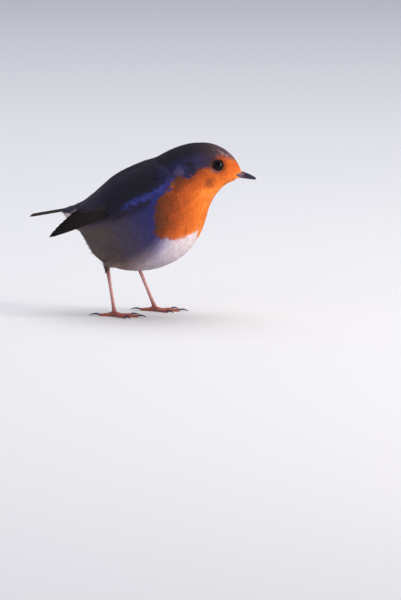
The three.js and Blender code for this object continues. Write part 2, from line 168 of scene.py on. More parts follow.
def place_corners(obj, points):
    """Moves a mesh's corners to new places, in millimetres."""
    obj.data.vertices.foreach_set("co", (points * MM).astype(np.float32).ravel())
    obj.data.update()


def give_vectors(obj, name, values):
    """A vector for each corner, which the materials can read by name."""
    layer = obj.data.attributes.new(name, "FLOAT_VECTOR", "POINT")
    layer.data.foreach_set("vector", np.asarray(values, np.float32).ravel())


# %% [markdown]
# ## The lines of the body
#
# The solid body was lofted through slanted slices, from the bill's base to the tail. The same slices
# are useful here: they tell how far along the body any point lies, which way its feathers lie, and
# how far the head's turn has moved it. With the turn undone, both sides of the bird are mirror
# images, and one set of markings serves for both.
#
# Each row is a point on the back, a point on the throat or belly, and the half width, in millimetres.

# %% Slices of the body, and the head's turn
SOLID_SHIFT = 0.83  # the solids were moved this far forward to centre the whole bird
SLICES = np.array(
    [
        [52.2, 77.3, 50.2, 72.2, 2.9],  # bill base
        [50.8, 81.2, 47.3, 71.1, 5.2],  # lores
        [48.1, 85.0, 44.2, 69.7, 7.6],  # forehead
        [43.8, 88.7, 40.9, 66.6, 9.6],  # eye
        [38.2, 91.5, 37.7, 62.2, 11.0],  # crown
        [31.4, 92.5, 35.6, 57.4, 12.8],  # back of the head
        [23.4, 91.7, 34.0, 51.7, 15.6],  # nape
        [14.8, 88.6, 32.0, 45.4, 18.8],  # base of the neck
        [7.0, 84.3, 28.2, 38.7, 21.2],  # shoulder
        [-0.9, 81.0, 22.6, 32.2, 22.6],  # breast
        [-8.0, 78.0, 15.0, 27.3, 22.9],  # middle
        [-15.0, 74.0, 6.0, 24.0, 22.2],  # belly
        [-20.7, 69.2, -4.5, 22.9, 20.4],  # loin
        [-26.2, 64.2, -15.2, 24.5, 16.6],  # rump
        [-31.6, 59.8, -25.2, 30.2, 12.2],  # vent
        [-37.4, 57.0, -32.0, 41.8, 7.6],  # tail coverts
        [-45.4, 55.2, -42.4, 51.6, 4.4],  # last covert
    ]
)
SLICES[:, [0, 2]] += SOLID_SHIFT
HEAD_TURN = math.radians(15)
PIVOT_X = 26 + SOLID_SHIFT
TURN_FROM, TURN_TO = 4.5, 8.0  # slices between which the neck takes up the turn


def smoothstep(values, low, high):
    share = np.clip((values - low) / (high - low), 0, 1)
    return share * share * (3 - 2 * share)


def slice_at(along):
    return np.stack(
        [np.interp(along, np.arange(len(SLICES)), SLICES[:, k]) for k in range(5)], axis=-1
    )


def along_body(points):
    """How many slices along the body each point lies, and its rise from belly (0) to back (1)."""
    x, z = points[:, 0, None], points[:, 2, None]
    back_x, back_z, front_x, front_z, _ = SLICES.T
    depth = np.hypot(back_x - front_x, back_z - front_z)
    behind = ((back_x - front_x) * (z - front_z) - (back_z - front_z) * (x - front_x)) / depth
    passed = np.clip((behind > 0).sum(1) - 1, 0, len(SLICES) - 2)
    rows = np.arange(len(points))
    here, there = behind[rows, passed], behind[rows, passed + 1]
    along = passed + np.clip(here / np.maximum(here - there, 1e-6), 0, 1)
    row = slice_at(along)
    up = row[:, :2] - row[:, 2:4]
    rise = ((points[:, [0, 2]] - row[:, 2:4]) * up).sum(1) / (up**2).sum(1)
    return along, rise


def turn_about_neck(points, angle):
    x, y = points[:, 0] - PIVOT_X, points[:, 1]
    turned = points.copy()
    turned[:, 0] = PIVOT_X + x * np.cos(angle) - y * np.sin(angle)
    turned[:, 1] = x * np.sin(angle) + y * np.cos(angle)
    return turned


def unturned(points):
    """Each point with the head's turn undone, how far along the body it lies, and its rise."""
    straight = points
    for _ in range(4):
        along, rise = along_body(straight)
        share = 1 - smoothstep(along, TURN_FROM, TURN_TO)
        straight = turn_about_neck(points, -HEAD_TURN * share)
    return straight, along, rise


def on_head(x, y, z):
    """A place on the turned head from its place before the turn, in millimetres."""
    return turn_about_neck(np.array([[x + SOLID_SHIFT, y, z]], float), HEAD_TURN)[0]


# %% Where the eyes are, and which way they look
EYE_X, EYE_Y, EYE_Z = 39.8, 6.8, 81.1  # before the head's turn
EYE_PLACES = [on_head(EYE_X, side * EYE_Y, EYE_Z) for _, side in SIDES]
EYE_RADIUS = 3.2  # mm
EYE_FORWARD = math.radians(10)


def eye_axis(side):
    out = np.array([[math.sin(EYE_FORWARD) + PIVOT_X, side * math.cos(EYE_FORWARD), 0]])
    return turn_about_neck(out, HEAD_TURN)[0] - (PIVOT_X, 0, 0)


# %% [markdown]
# ## The skin
#
# Under the feathers one skin runs over the head, neck, body, shoulders and thighs. The solids of
# those parts are separate and end at the feather tips, so they are copied, swollen by a hair so
# that they touch, joined, and remeshed into one closed surface.
#
# The folded wings stand against the back with a groove between. On the bird the feathers bridge
# it, so the surface is swollen by a few millimetres, remeshed and shrunk again: what was a narrow
# groove has closed by then, and the rest comes back to its place. Smoothing takes away the marks
# of the cuts, and then the whole surface is moved inwards by the depth of the coat, which is thin
# on the face and deep on the belly.

# %% One skin from the solids of flesh
GROOVE = 3.5  # mm, half the width of the widest groove that closes


def remesh(obj, voxel):
    apply_modifier(obj, "REMESH", mode="VOXEL", voxel_size=voxel * MM)
    return keep_largest_shell(obj)


def close_grooves(obj):
    remesh(obj, SKIN_VOXEL)
    apply_modifier(obj, "DISPLACE", strength=GROOVE * MM, mid_level=0)
    remesh(obj, SKIN_VOXEL)
    apply_modifier(obj, "SMOOTH", factor=0.5, iterations=4)
    apply_modifier(obj, "DISPLACE", strength=-GROOVE * MM, mid_level=0)
    return remesh(obj, SKIN_VOXEL)


FLESH = ["head", "neck", "breast", "trunk", "rump", "thigh_right", "thigh_left"]
FLESH += ["wing_right_coverts", "wing_left_coverts"]
FILLERS = ["eye_right", "eye_left", "tail"]  # these close the sockets and the slot of the tail
SWELL = 0.25  # mm
SKIN_VOXEL = 0.75  # mm
TAIL_CUT_X = -37.5  # the skin ends here, inside the tail coverts

parts = [copy_of_node(name) for name in FLESH + FILLERS]
for part in parts:
    apply_modifier(part, "DISPLACE", strength=SWELL * MM, mid_level=0)

bill_base = on_head(51.8, 0, 75.0)
bpy.ops.mesh.primitive_uv_sphere_add(segments=16, ring_count=10, location=bill_base * MM)
bill_plug = bpy.context.object
bill_plug.scale = (3.0 * MM, 2.7 * MM, 2.5 * MM)
bpy.ops.object.transform_apply(location=True, rotation=False, scale=True)
skin = join("skin", [bill_plug] + parts)

bpy.ops.object.mode_set(mode="EDIT")
bpy.ops.mesh.select_all(action="SELECT")
bpy.ops.mesh.bisect(
    plane_co=(TAIL_CUT_X * MM, 0, 0), plane_no=(1, 0, 0), clear_inner=True, use_fill=True
)
bpy.ops.object.mode_set(mode="OBJECT")
shells = close_grooves(skin)
apply_modifier(skin, "SMOOTH", factor=0.5, iterations=12)
print("skin:", len(skin.data.vertices), "corners, from", shells, "shells")

# %% [markdown]
# ## How deep the coat is
#
# The depth is read from the body's lines: a value for each slice, deeper below than above. The
# shoulders and thighs have short feathers of their own, so near those solids the depth falls to
# theirs. The distance to a solid comes from a search tree of its triangles.

# %% Coat depth, and moving the skin inwards
# millimetres, for each slice of the body
COAT_DEPTH = [0.35, 0.45, 0.6, 0.7, 0.9, 1.2, 1.6, 2.0, 2.3, 2.3, 2.3, 2.3, 2.2, 1.9, 1.5, 1.1, 0.8]
SHORT_COAT = 0.9  # mm on the shoulders and thighs


def search_tree(names):
    """A search tree of some solids' triangles, in millimetres."""
    corners, triangles = [], []
    for name in names:
        points, _, faces = corners_of(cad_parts[name])
        triangles += (faces + len(corners)).tolist()
        corners += points.tolist()
    return BVHTree.FromPolygons(corners, triangles)


def distance_to(tree, points):
    return np.array([tree.find_nearest(point)[3] for point in points])


def nearness(distances, inner=0.8, outer=3.0):
    """1 on or close to something, falling to 0 a few millimetres off."""
    return 1 - smoothstep(distances, inner, outer)


WING_TREE = search_tree(["wing_right_coverts", "wing_left_coverts"])
THIGH_TREE = search_tree(["thigh_right", "thigh_left"])


def coat_depth(points):
    _, along, rise = unturned(points)
    depth = np.interp(along, np.arange(len(COAT_DEPTH)), COAT_DEPTH)
    depth *= 1.15 - 0.3 * np.clip(rise, 0, 1)
    for tree in (WING_TREE, THIGH_TREE):
        near = nearness(distance_to(tree, points))
        depth += near * (SHORT_COAT - depth) * (depth > SHORT_COAT)
    return depth


points, normals, _ = corners_of(skin)
points -= normals * (coat_depth(points) + SWELL)[:, None]
place_corners(skin, points)
apply_modifier(skin, "SMOOTH", factor=0.5, iterations=6)

SOCKET_LEVEL = 1.4  # mm from the eye's middle out to the skin at the lids
points, _, _ = corners_of(skin)
for place, (_, side) in zip(EYE_PLACES, SIDES):
    axis = eye_axis(side)
    height = (points - place) @ axis
    from_axis = np.linalg.norm(points - place - np.outer(height, axis), axis=1)
    level = SOCKET_LEVEL + 2.2 * smoothstep(from_axis, 3.1, 7.0)
    pressed = np.maximum(height - level, 0) * (1 - smoothstep(from_axis, 4.2, 7.0))
    points -= np.outer(pressed, axis)
place_corners(skin, points)
skin.data.shade_smooth()

select_only(skin)
bpy.ops.object.mode_set(mode="EDIT")
bpy.ops.mesh.select_all(action="SELECT")
bpy.ops.mesh.normals_make_consistent(inside=False)
bpy.ops.uv.smart_project(angle_limit=math.radians(60), island_margin=0.004)
bpy.ops.object.mode_set(mode="OBJECT")
skin.data.uv_layers[0].name = "OFBake"
print("skin is", [round(1000 * side, 1) for side in skin.dimensions], "mm")

# %% [markdown]
# ## Where the feathers are rooted
#
# Feathers grow close together on the face and wider apart on the belly, and never in rows as
# straight as a ruler's. Points are thrown at the skin at random, and each is kept only if no kept
# one lies within its own spacing, which gives an even but irregular cover.

# %% A surface to lay feathers on
class Ground:
    """A surface that feathers are laid over, as arrays in millimetres and a search tree."""

    def __init__(self, obj):
        self.points, self.normals, self.triangles = corners_of(obj)
        self.tree = BVHTree.FromPolygons(self.points.tolist(), self.triangles.tolist())

    def nearest(self, places):
        """The nearest places on the surface, its normals there, and its triangles' numbers."""
        found = [self.tree.find_nearest(place) for place in places]
        ground = np.array([place for place, _, _, _ in found])
        numbers = np.array([number for _, _, number, _ in found])
        corners = self.points[self.triangles[numbers]]
        weights = 1 / (np.linalg.norm(corners - ground[:, None], axis=2) + 0.05)
        normals = (self.normals[self.triangles[numbers]] * weights[:, :, None]).sum(1)
        return ground, unit(normals), numbers


SKIN = Ground(skin)

# %% Throwing the roots
# millimetres between roots, for each slice of the body
SPACING = [0.4, 0.41, 0.44, 0.5, 0.55, 0.62, 0.67, 0.72, 0.76]
SPACING += [0.78, 0.8, 0.8, 0.8, 0.76, 0.72, 0.66, 0.66]
WING_SPACING = 0.8  # mm
EYE_REACH = [3.4, 5.5]  # mm from an eye's middle, between which feathers grow to full size


def root_spacing(points):
    _, along, _ = unturned(points)
    spacing = np.interp(along, np.arange(len(SPACING)), SPACING)
    for eye in EYE_PLACES:
        spacing *= np.interp(np.linalg.norm(points - eye, axis=1), EYE_REACH, [0.6, 1])
    for tree in (WING_TREE, THIGH_TREE):
        spacing += nearness(distance_to(tree, points)) * (WING_SPACING - spacing)
    return spacing


def throw_roots(ground, tries_per_feather=5):
    corners = ground.points[ground.triangles]
    across = np.cross(corners[:, 1] - corners[:, 0], corners[:, 2] - corners[:, 0])
    areas = np.linalg.norm(across, axis=1) / 2
    wanted = areas * tries_per_feather / root_spacing(corners.mean(1)) ** 2
    counts = rng.poisson(wanted)
    chosen = rng.permutation(np.repeat(np.arange(len(areas)), counts))
    a, b = rng.random((2, len(chosen), 1))
    over = a + b > 1
    a, b = np.where(over, 1 - a, a), np.where(over, 1 - b, b)
    p, q, r = corners[chosen].transpose(1, 0, 2)
    thrown = p + a * (q - p) + b * (r - p)
    spacing = root_spacing(thrown)
    keys = (thrown // spacing.max()).astype(int).tolist()
    cells, kept = {}, []
    for number, (point, near, key) in enumerate(zip(thrown.tolist(), spacing.tolist(), keys)):
        around = itertools.product(*[(cell - 1, cell, cell + 1) for cell in key])
        rivals = itertools.chain.from_iterable(cells[cell] for cell in around if cell in cells)
        if all(math.dist(point, rival) >= near for rival in rivals):
            cells.setdefault(tuple(key), []).append(point)
            kept.append(number)
    return thrown[kept]


roots = throw_roots(SKIN)
print("roots thrown:", len(roots))

# %% [markdown]
# ## Which way the feathers lie
#
# Feathers lie from bill to tail. A point that keeps its rise and its share of the width moves
# along the body as the slices do, so the step from one slice to the next is the lie of the coat.
# On the shoulders the feathers follow the folded wing, and on the thighs they run down to the heel.

# %% The lie of the coat
WING_LIE = np.array([-0.9, 0, -0.44])
HEELS = {1: (-5.4, 11.2, 25.7), -1: (-16.2, -11.2, 27.2)}  # mm, by side


def ahead_on_wing(points):
    """How far forward each point lies, measured against the lie of the wing."""
    return points[:, 0] * -WING_LIE[0] - points[:, 2] * WING_LIE[2]


def body_lie(points):
    straight, along, rise = unturned(points)
    step = 0.3
    ahead = slice_at(np.clip(along - step, 0, len(SLICES) - 1))
    behind = slice_at(np.clip(along + step, 0, len(SLICES) - 1))
    rise = np.clip(rise, 0, 1)[:, None]
    moved = (behind[:, 2:4] - ahead[:, 2:4]) * (1 - rise) + (behind[:, :2] - ahead[:, :2]) * rise
    widening = (behind[:, 4] - ahead[:, 4]) / slice_at(along)[:, 4] * straight[:, 1]
    lie = unit(np.stack([moved[:, 0], widening, moved[:, 1]], axis=1))
    turn = HEAD_TURN * (1 - smoothstep(along, TURN_FROM, TURN_TO))
    cos, sin = np.cos(turn), np.sin(turn)
    turned = np.stack([lie[:, 0] * cos - lie[:, 1] * sin, lie[:, 0] * sin + lie[:, 1] * cos], axis=1)
    return np.column_stack([turned, lie[:, 2]])


def coat_lie(points, normals):
    lie = body_lie(points)
    on_wing = nearness(distance_to(WING_TREE, points), 1.0, 4.0)
    on_thigh = nearness(distance_to(THIGH_TREE, points), 1.0, 4.0)
    heels = np.array([HEELS[1 if y > 0 else -1] for y in points[:, 1]])
    lie += on_wing[:, None] * (WING_LIE - lie)
    lie += (on_thigh * (1 - on_wing))[:, None] * (unit(heels - points) - lie)
    for eye in EYE_PLACES:  # round each eye the feathers lie away from it and back
        away = points - eye
        near = nearness(np.linalg.norm(away, axis=1), 3.4, 5.0)
        lie += near[:, None] * (unit(away) - lie)
    lie -= (lie * normals).sum(1, keepdims=True) * normals
    return unit(lie)


# %% [markdown]
# ## One contour feather
#
# A contour feather is a soft vane with a shaft along its middle, and its outer barbs stand free,
# so its edge is fringed. The pattern is a small lofted vane with fringing barbs, in feather
# coordinates: along the shaft from 0 to 1, across it in half widths, and above it. A few patterns
# with different fringes are enough, because each copy is bent over the body in its own way.

# %% Patterns of the feather
VANE_ROWS = [0.0, 0.3, 0.55, 0.75, 0.87]
VANE_HALF_WIDTHS = [0.2, 0.5, 0.62, 0.52, 0.2]


def fringe(barbs, reach, spread, width, seed):
    """Corners (along, across, above), and triangles, of a vane with free barbs at its rim."""
    chance = np.random.default_rng(seed)
    corners, faces = [], []
    for along, half in zip(VANE_ROWS, VANE_HALF_WIDTHS):
        corners += [(along, -half, -0.06), (along, 0, 0.03), (along, half, -0.06)]
    for row in range(len(VANE_ROWS) - 1):
        for side in (0, 1):
            a = 3 * row + side
            faces += [(a, a + 1, a + 4), (a, a + 4, a + 3)]
    for barb in range(barbs):
        place = (barb + 0.5) / barbs * 2 - 1  # from one rim round the tip to the other
        side, out = np.sign(place), abs(place)
        root_along = 0.8 - 0.5 * out**1.3 + chance.uniform(-0.04, 0.04)
        root_across = side * 0.5 * out**0.6
        tip_along = root_along + reach * chance.uniform(0.7, 1.3)
        tip_across = side * spread * out**0.75 + chance.uniform(-0.14, 0.14)
        wide = width * chance.uniform(0.7, 1.3)
        above = chance.uniform(0.0, 0.1)
        first = len(corners)
        corners += [(root_along, root_across - wide, above)]
        corners += [(root_along, root_across + wide, above)]
        corners += [(tip_along, tip_across, above + chance.uniform(-0.12, 0.06))]
        faces += [(first, first + 1, first + 2)]
    return np.array(corners), np.array(faces)


PATTERNS = [fringe(34, 0.32, 1.05, 0.075, seed) for seed in range(8)]
print("one feather has", len(PATTERNS[0][1]), "triangles")

# %% [markdown]
# ## Growing the coat
#
# Each feather's shaft starts at its root and steps back over the skin, rising from it as it goes,
# so that its tip lies at the coat's surface and over the next roots. The vane is laid along that
# bent shaft. All this is done for thousands of feathers at once with arrays, since a modifier stack
# or particles could not steer each one, and hair would be lost when the model leaves Blender.

# %% Shafts over a surface
STEPS = 3  # along each shaft
BODY_ROUND = 14.0  # mm, the usual radius of the body across a feather


def shafts(ground, points, lengths, lifts, bend, lie_of):
    """Four places along each shaft, and the surface's normal at each."""
    places, normals = [], []
    here = points
    lie = None
    for step in range(STEPS + 1):
        below, normal, _ = ground.nearest(here)
        if lie is None:
            lie = lie_of(points, normal)
            lie = unit(lie + np.cross(normal, lie) * bend[:, None])
        else:
            lie = unit(lie - (lie * normal).sum(1, keepdims=True) * normal)
        rise = lifts * (1 - (1 - step / STEPS) ** 1.8)
        places.append(below + normal * rise[:, None])
        normals.append(normal)
        here = below + lie * (lengths / STEPS)[:, None]
    return np.array(places), np.array(normals)


def hanging_shafts(points, normals, lie, lengths, droop):
    """Shafts that leave the body: straight along their lie, bending down towards the tip."""
    places = []
    for step in range(STEPS + 1):
        share = step / STEPS
        places.append(points + lie * (lengths * share)[:, None])
        places[-1][:, 2] -= droop * share**2
    return np.array(places), np.repeat(normals[None], STEPS + 1, axis=0)


def along_curve(knots, t):
    """Places at t (0 to 1) on the smooth curve through four evenly spaced knots."""
    s = t * STEPS
    weights = [
        -(s - 1) * (s - 2) * (s - 3) / 6,
        s * (s - 2) * (s - 3) / 2,
        -s * (s - 1) * (s - 3) / 2,
        s * (s - 1) * (s - 2) / 6,
    ]
    return sum(knots[k][:, None, :] * weights[k][None, :, None] for k in range(4))


# %% A mesh of feathers along their shafts
def marks_at(points):
    """The unturned place, and the place by the body's lines, that the markings are drawn on."""
    straight, along, rise = unturned(points)
    return straight, np.column_stack([along, rise, straight[:, 1] / slice_at(along)[:, 4]])


def feathers(name, points, laid, widths, patterns=PATTERNS, finish=None):
    """One coat piece with a feather for each root, from one of a few patterns."""
    knots, knot_normals = laid
    mark, lines = marks_at(along_curve(knots, np.array([0.8]))[:, 0])
    mark += rng.normal(0, 0.25, mark.shape)
    tints = rng.random(len(points))
    variant = rng.integers(len(patterns), size=len(points))
    made = {key: [] for key in ("points", "faces", "marks", "lines", "vanes", "roots", "shading")}
    count = 0
    for number, (corners, faces) in enumerate(patterns):
        mine = np.flatnonzero(variant == number)
        t, across, above = corners.T
        centre = along_curve(knots[:, mine], t)
        tangent = unit(along_curve(knots[:, mine], t + 0.02) - centre)
        up = unit(along_curve(knot_normals[:, mine], np.clip(t, 0, 1)))
        side = unit(np.cross(tangent, up))
        half = (widths[mine] / 2)[:, None, None]
        laid = centre + side * across[None, :, None] * half + up * above[None, :, None] * half
        laid -= up * (across**2)[None, :, None] * half**2 / (2 * BODY_ROUND)
        shading = unit(up + 0.16 * side * across[None, :, None] + 0.12 * tangent)
        shade = np.random.default_rng(number).random(len(corners))
        shade[: 3 * len(VANE_ROWS)] = 0.5
        vane = np.empty((len(mine), len(corners), 3))
        vane[:, :, 0] = t
        vane[:, :, 1] = shade
        vane[:, :, 2] = tints[mine][:, None]
        offsets = np.arange(len(mine)) * len(corners) + count
        made["points"].append(laid.reshape(-1, 3))
        made["faces"].append((faces[None] + offsets[:, None, None]).reshape(-1, 3))
        made["marks"].append(np.repeat(mark[mine], len(corners), axis=0))
        made["lines"].append(np.repeat(lines[mine], len(corners), axis=0))
        made["vanes"].append(vane.reshape(-1, 3))
        made["roots"].append(np.repeat(mine, len(faces)))
        made["shading"].append(shading.reshape(-1, 3))
        count += len(mine) * len(corners)
    made = {key: np.concatenate(parts) for key, parts in made.items()}
    piece = mesh_object(name, made["points"], made["faces"])
    give_vectors(piece, "mark", made["marks"] * MM)
    give_vectors(piece, "lines", made["lines"])
    give_vectors(piece, "vane", made["vanes"])
    patch_uvs(piece, points, made["roots"])
    piece.data.shade_smooth()
    piece.data.normals_split_custom_set_from_vertices(made["shading"].tolist())
    piece.data.materials.append(finish or PLUMAGE)
    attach(piece, "root")
    print(name, len(points), "feathers,", len(piece.data.polygons), "triangles")
    return piece


def lay_feathers(name, ground, points, lengths, widths, lifts, lie_of=coat_lie, **looks):
    bend = rng.normal(0, 0.12, len(points))
    laid = shafts(ground, points, lengths, lifts, bend, lie_of)
    return feathers(name, points, laid, widths, **looks)


# %% [markdown]
# Each feather also gets a tiny patch of the skin's unwrap, at its root. When the colours are baked
# into one image, every feather then finds its own few points of it, next to those of the feathers
# around it.

# %% The unwrap that the coat shares with the skin
PATCH = 0.0024  # a feather's patch, as a share of the unwrap's side


def skin_unwrap():
    """The unwrap place of each corner of each skin triangle."""
    mesh = skin.data
    places = np.empty(len(mesh.loops) * 2, np.float32)
    mesh.uv_layers["OFBake"].data.foreach_get("uv", places)
    loops = np.empty(len(mesh.loop_triangles) * 3, np.int32)
    mesh.loop_triangles.foreach_get("loops", loops)
    return places.reshape(-1, 2)[loops].reshape(-1, 3, 2)


SKIN_UNWRAP = skin_unwrap()


def patch_uvs(piece, points, root_of_face):
    _, _, numbers = SKIN.nearest(points)
    corners = SKIN.points[SKIN.triangles[numbers]]
    weights = 1 / (np.linalg.norm(corners - points[:, None], axis=2) + 0.02)
    weights /= weights.sum(1, keepdims=True)
    centres = (SKIN_UNWRAP[numbers] * weights[:, :, None]).sum(1)
    vanes = np.empty(len(piece.data.vertices) * 3, np.float32)
    piece.data.attributes["vane"].data.foreach_get("vector", vanes)
    loops = np.empty(len(piece.data.loops), np.int32)
    piece.data.loops.foreach_get("vertex_index", loops)
    within = vanes.reshape(-1, 3)[loops, :2] - 0.5
    places = centres[np.repeat(root_of_face, 3)] + PATCH * np.clip(within, -0.6, 0.6)
    layer = piece.data.uv_layers.new(name="OFBake")
    layer.data.foreach_set("uv", places.astype(np.float32).ravel())


# %% [markdown]
# ## Wiring materials in a few words
#
# A material is a small net of nodes. These helpers add one node each and join it to what came
# before, so that a recipe below reads as a sum. A value may be a number or another node's output.


# %% Helpers for nodes
def feed(tree, socket, value):
    if isinstance(value, bpy.types.NodeSocket):
        tree.links.new(value, socket)
    else:
        socket.default_value = value


def sum_node(tree, operation, first, second=0.0, third=0.0):
    node = tree.nodes.new("ShaderNodeMath")
    node.operation = operation
    for socket, value in zip(node.inputs, (first, second, third)):
        feed(tree, socket, value)
    return node.outputs[0]


def minus(tree, first, second):
    return sum_node(tree, "SUBTRACT", first, second)


def times_plus(tree, value, factor, more):
    """The value times the factor, plus more."""
    return sum_node(tree, "MULTIPLY_ADD", value, factor, more)


def product(tree, *values):
    total = values[0]
    for value in values[1:]:
        total = sum_node(tree, "MULTIPLY", total, value)
    return total


def rescale(tree, value, low, high, to_low=0.0, to_high=1.0, smooth=True):
    node = tree.nodes.new("ShaderNodeMapRange")
    node.interpolation_type = "SMOOTHSTEP" if smooth else "LINEAR"
    for socket, given in zip(node.inputs, (value, low, high, to_low, to_high)):
        feed(tree, socket, given)
    return node.outputs[0]


def blend(tree, share, first, second, kind="MIX"):
    node = tree.nodes.new("ShaderNodeMix")
    node.data_type = "RGBA"
    node.blend_type = kind
    feed(tree, node.inputs[0], share)
    feed(tree, node.inputs[6], first)
    feed(tree, node.inputs[7], second)
    return node.outputs[2]


def colour_ramp(tree, value, stops):
    """A colour for a value, through a few stops of (value, colour)."""
    low, high = stops[0][0], stops[-1][0]
    node = tree.nodes.new("ShaderNodeValToRGB")
    elements = node.color_ramp.elements
    for number, (at, colour) in enumerate(stops):
        place = (at - low) / (high - low)
        if 0 < number < len(stops) - 1:
            elements.new(place)
    for element, (at, colour) in zip(elements, stops):
        element.color = colour
    share = rescale(tree, value, low, high, smooth=False)
    tree.links.new(share, node.inputs[0])
    return node.outputs[0]


def noise(tree, place, scale, detail=2.0, output=0):
    node = tree.nodes.new("ShaderNodeTexNoise")
    feed(tree, node.inputs["Scale"], scale)
    node.inputs["Detail"].default_value = detail
    tree.links.new(place, node.inputs["Vector"])
    return node.outputs[output]


def outline(tree, value, knots):
    """A drawn line: the height at value, through a few knots of (value, height) in millimetres."""
    values, heights = zip(*knots)
    low, high = min(heights), max(heights)
    share = rescale(tree, value, values[0], values[-1], smooth=False)
    node = tree.nodes.new("ShaderNodeFloatCurve")
    curve = node.mapping.curves[0]
    for number, (at, height) in enumerate(knots):
        x = (at - values[0]) / (values[-1] - values[0])
        y = (height - low) / (high - low)
        if 0 < number < len(knots) - 1:
            curve.points.new(x, y)
        else:
            curve.points[0 if number == 0 else -1].location = (x, y)
    node.mapping.update()
    tree.links.new(share, node.inputs["Value"])
    return rescale(tree, node.outputs[0], 0.0, 1.0, low, high, smooth=False)


def named_vector(tree, name):
    node = tree.nodes.new("ShaderNodeAttribute")
    node.attribute_name = name
    return node.outputs["Vector"]


def split(tree, vector):
    node = tree.nodes.new("ShaderNodeSeparateXYZ")
    tree.links.new(vector, node.inputs[0])
    return node.outputs[:3]


def new_material(name, roughness, **settings):
    material = bpy.data.materials.new(name)
    material.use_nodes = True
    shader = material.node_tree.nodes["Principled BSDF"]
    shader.inputs["Roughness"].default_value = roughness
    for label, value in settings.items():
        socket = label.replace("_", " ").title().replace("Ior", "IOR")
        shader.inputs[socket].default_value = value
    return material


def wires(material):
    """A material's net of nodes, and its shader."""
    return material.node_tree, material.node_tree.nodes["Principled BSDF"]


def bump(tree, height, strength, distance):
    node = tree.nodes.new("ShaderNodeBump")
    node.inputs["Strength"].default_value = strength
    node.inputs["Distance"].default_value = distance
    tree.links.new(height, node.inputs["Height"])
    return node.outputs[0]


def srgb(red, green, blue):
    """A colour from its everyday 0 to 255 values, as the linear light that shaders want."""
    shares = [value / 255 for value in (red, green, blue)]
    return [s / 12.92 if s < 0.04045 else ((s + 0.055) / 1.055) ** 2.4 for s in shares] + [1]


# %% [markdown]
# ## The robin's markings, with painted light and shade
#
# The orange bib runs from the forehead round the eye, down the cheek and over the breast. A soft
# blue-grey band borders it, the upper side is dark olive brown, and the belly is white between
# buff-brown flanks. Light and shade are also painted into these colours. The upper side, the band and
# the flanks are drawn darker and bluer than the bird's own colours, as painted shade. The bib darkens
# towards its back as painted shade and pales towards its front as painted light. The front of the
# crown and the streak at the wing's edge carry painted highlights, and the underside is paler as
# painted bounce light. The markings are drawn once, as a node group on the unturned place, from two
# outlines: the bib's upper edge against the length of the bird, and its lower edge from side to side.
# Noise moves the edges a little, as feathers of both colours mix there.

# %% The bib, as a node group
BIB_TOP = [
    (12.2, 50), (13.8, 64.5), (16.6, 67.4), (20.2, 69.8), (21.2, 74.0), (23.0, 77.0), (25.2, 76.0),
    (26.8, 75.0), (28.6, 77.2), (31.2, 79.7), (35.4, 80.2), (37.2, 81.8), (38.8, 85.0), (41.3, 86.0),
    (44.6, 85.2), (47.5, 83.9), (50, 83.4), (53, 83.6),
]
BIB_BOTTOM = [(-22, 48), (-20, 44), (-15, 43), (-7, 46), (-2, 42), (4, 39.5), (13, 41), (22, 48)]
STREAK = [(-8, 57.5), (-2, 60.8), (7.5, 65.6), (14.5, 69.5), (21, 74.5)]  # along the wing's edge


def new_group(name, inputs, outputs):
    group = bpy.data.node_groups.new(name, "ShaderNodeTree")
    for label, kind in inputs:
        group.interface.new_socket(label, in_out="INPUT", socket_type=kind)
    for label, kind in outputs:
        group.interface.new_socket(label, in_out="OUTPUT", socket_type=kind)
    return group, group.nodes.new("NodeGroupInput"), group.nodes.new("NodeGroupOutput")


def use_group(tree, group, **given):
    node = tree.nodes.new("ShaderNodeGroup")
    node.node_tree = group
    for label, value in given.items():
        feed(tree, node.inputs[label], value)
    return node


def bib_group():
    group, given, result = new_group(
        "bib",
        [("Place", "NodeSocketVector"), ("Widen", "NodeSocketFloat"), ("Softness", "NodeSocketFloat")],
        [("Inside", "NodeSocketFloat")],
    )
    x, y, z = split(group, given.outputs["Place"])
    wide = given.outputs["Widen"]
    soft = product(group, given.outputs["Softness"], rescale(group, x, 36, 44, 1.0, 1.9))
    top = outline(group, sum_node(group, "ADD", x, wide), BIB_TOP)
    top = times_plus(group, wide, 0.6, top)
    bottom = times_plus(group, wide, -0.5, outline(group, y, BIB_BOTTOM))
    back = minus(group, BIB_TOP[0][0], wide)

    def inwards(more, less):
        return rescale(group, sum_node(group, "DIVIDE", minus(group, more, less), soft), -1, 1)

    inside = product(group, inwards(top, z), inwards(z, bottom), inwards(x, back))
    group.links.new(inside, result.inputs["Inside"])
    return group


BIB = bib_group()

# %% All the markings, and the light and shade painted into them, as a node group
# the bib's orange, from dark rust at its back edge to pale orange at its front: partly its own colour,
# partly painted shade behind and painted light in front
ORANGE_WITH_PAINTED_LIGHT = [
    (14, srgb(106, 62, 44)), (18, srgb(136, 68, 38)), (21.5, srgb(172, 80, 39)),
    (27, srgb(206, 99, 42)), (32, srgb(238, 126, 48)), (38, srgb(255, 164, 74)),
]
# the belly's white and buff, drawn bluer and greyer towards the back as painted shade
BELLY = [
    (-8, srgb(156, 132, 126)), (2, srgb(170, 146, 150)), (8, srgb(156, 140, 160)),
    (13, srgb(166, 154, 188)), (18, srgb(202, 192, 216)), (24, srgb(230, 220, 230)),
    (31, srgb(244, 236, 238)),
]
CHEEK_RUST = srgb(120, 52, 34)
# the band's own blue-grey, made bluer and deeper as painted shade
BAND_BLUE_AND_PAINTED_SHADE = srgb(54, 57, 124)
# blue-grey made lighter along the wing's edge: a painted highlight
STREAK_BLUE_HIGHLIGHT = srgb(60, 66, 138)
# the upper side's browns and slates are darker and bluer than the bird's own olive brown: painted
# shade
NAPE_BROWN = srgb(42, 37, 48)
CROWN_BROWN = srgb(78, 58, 66)
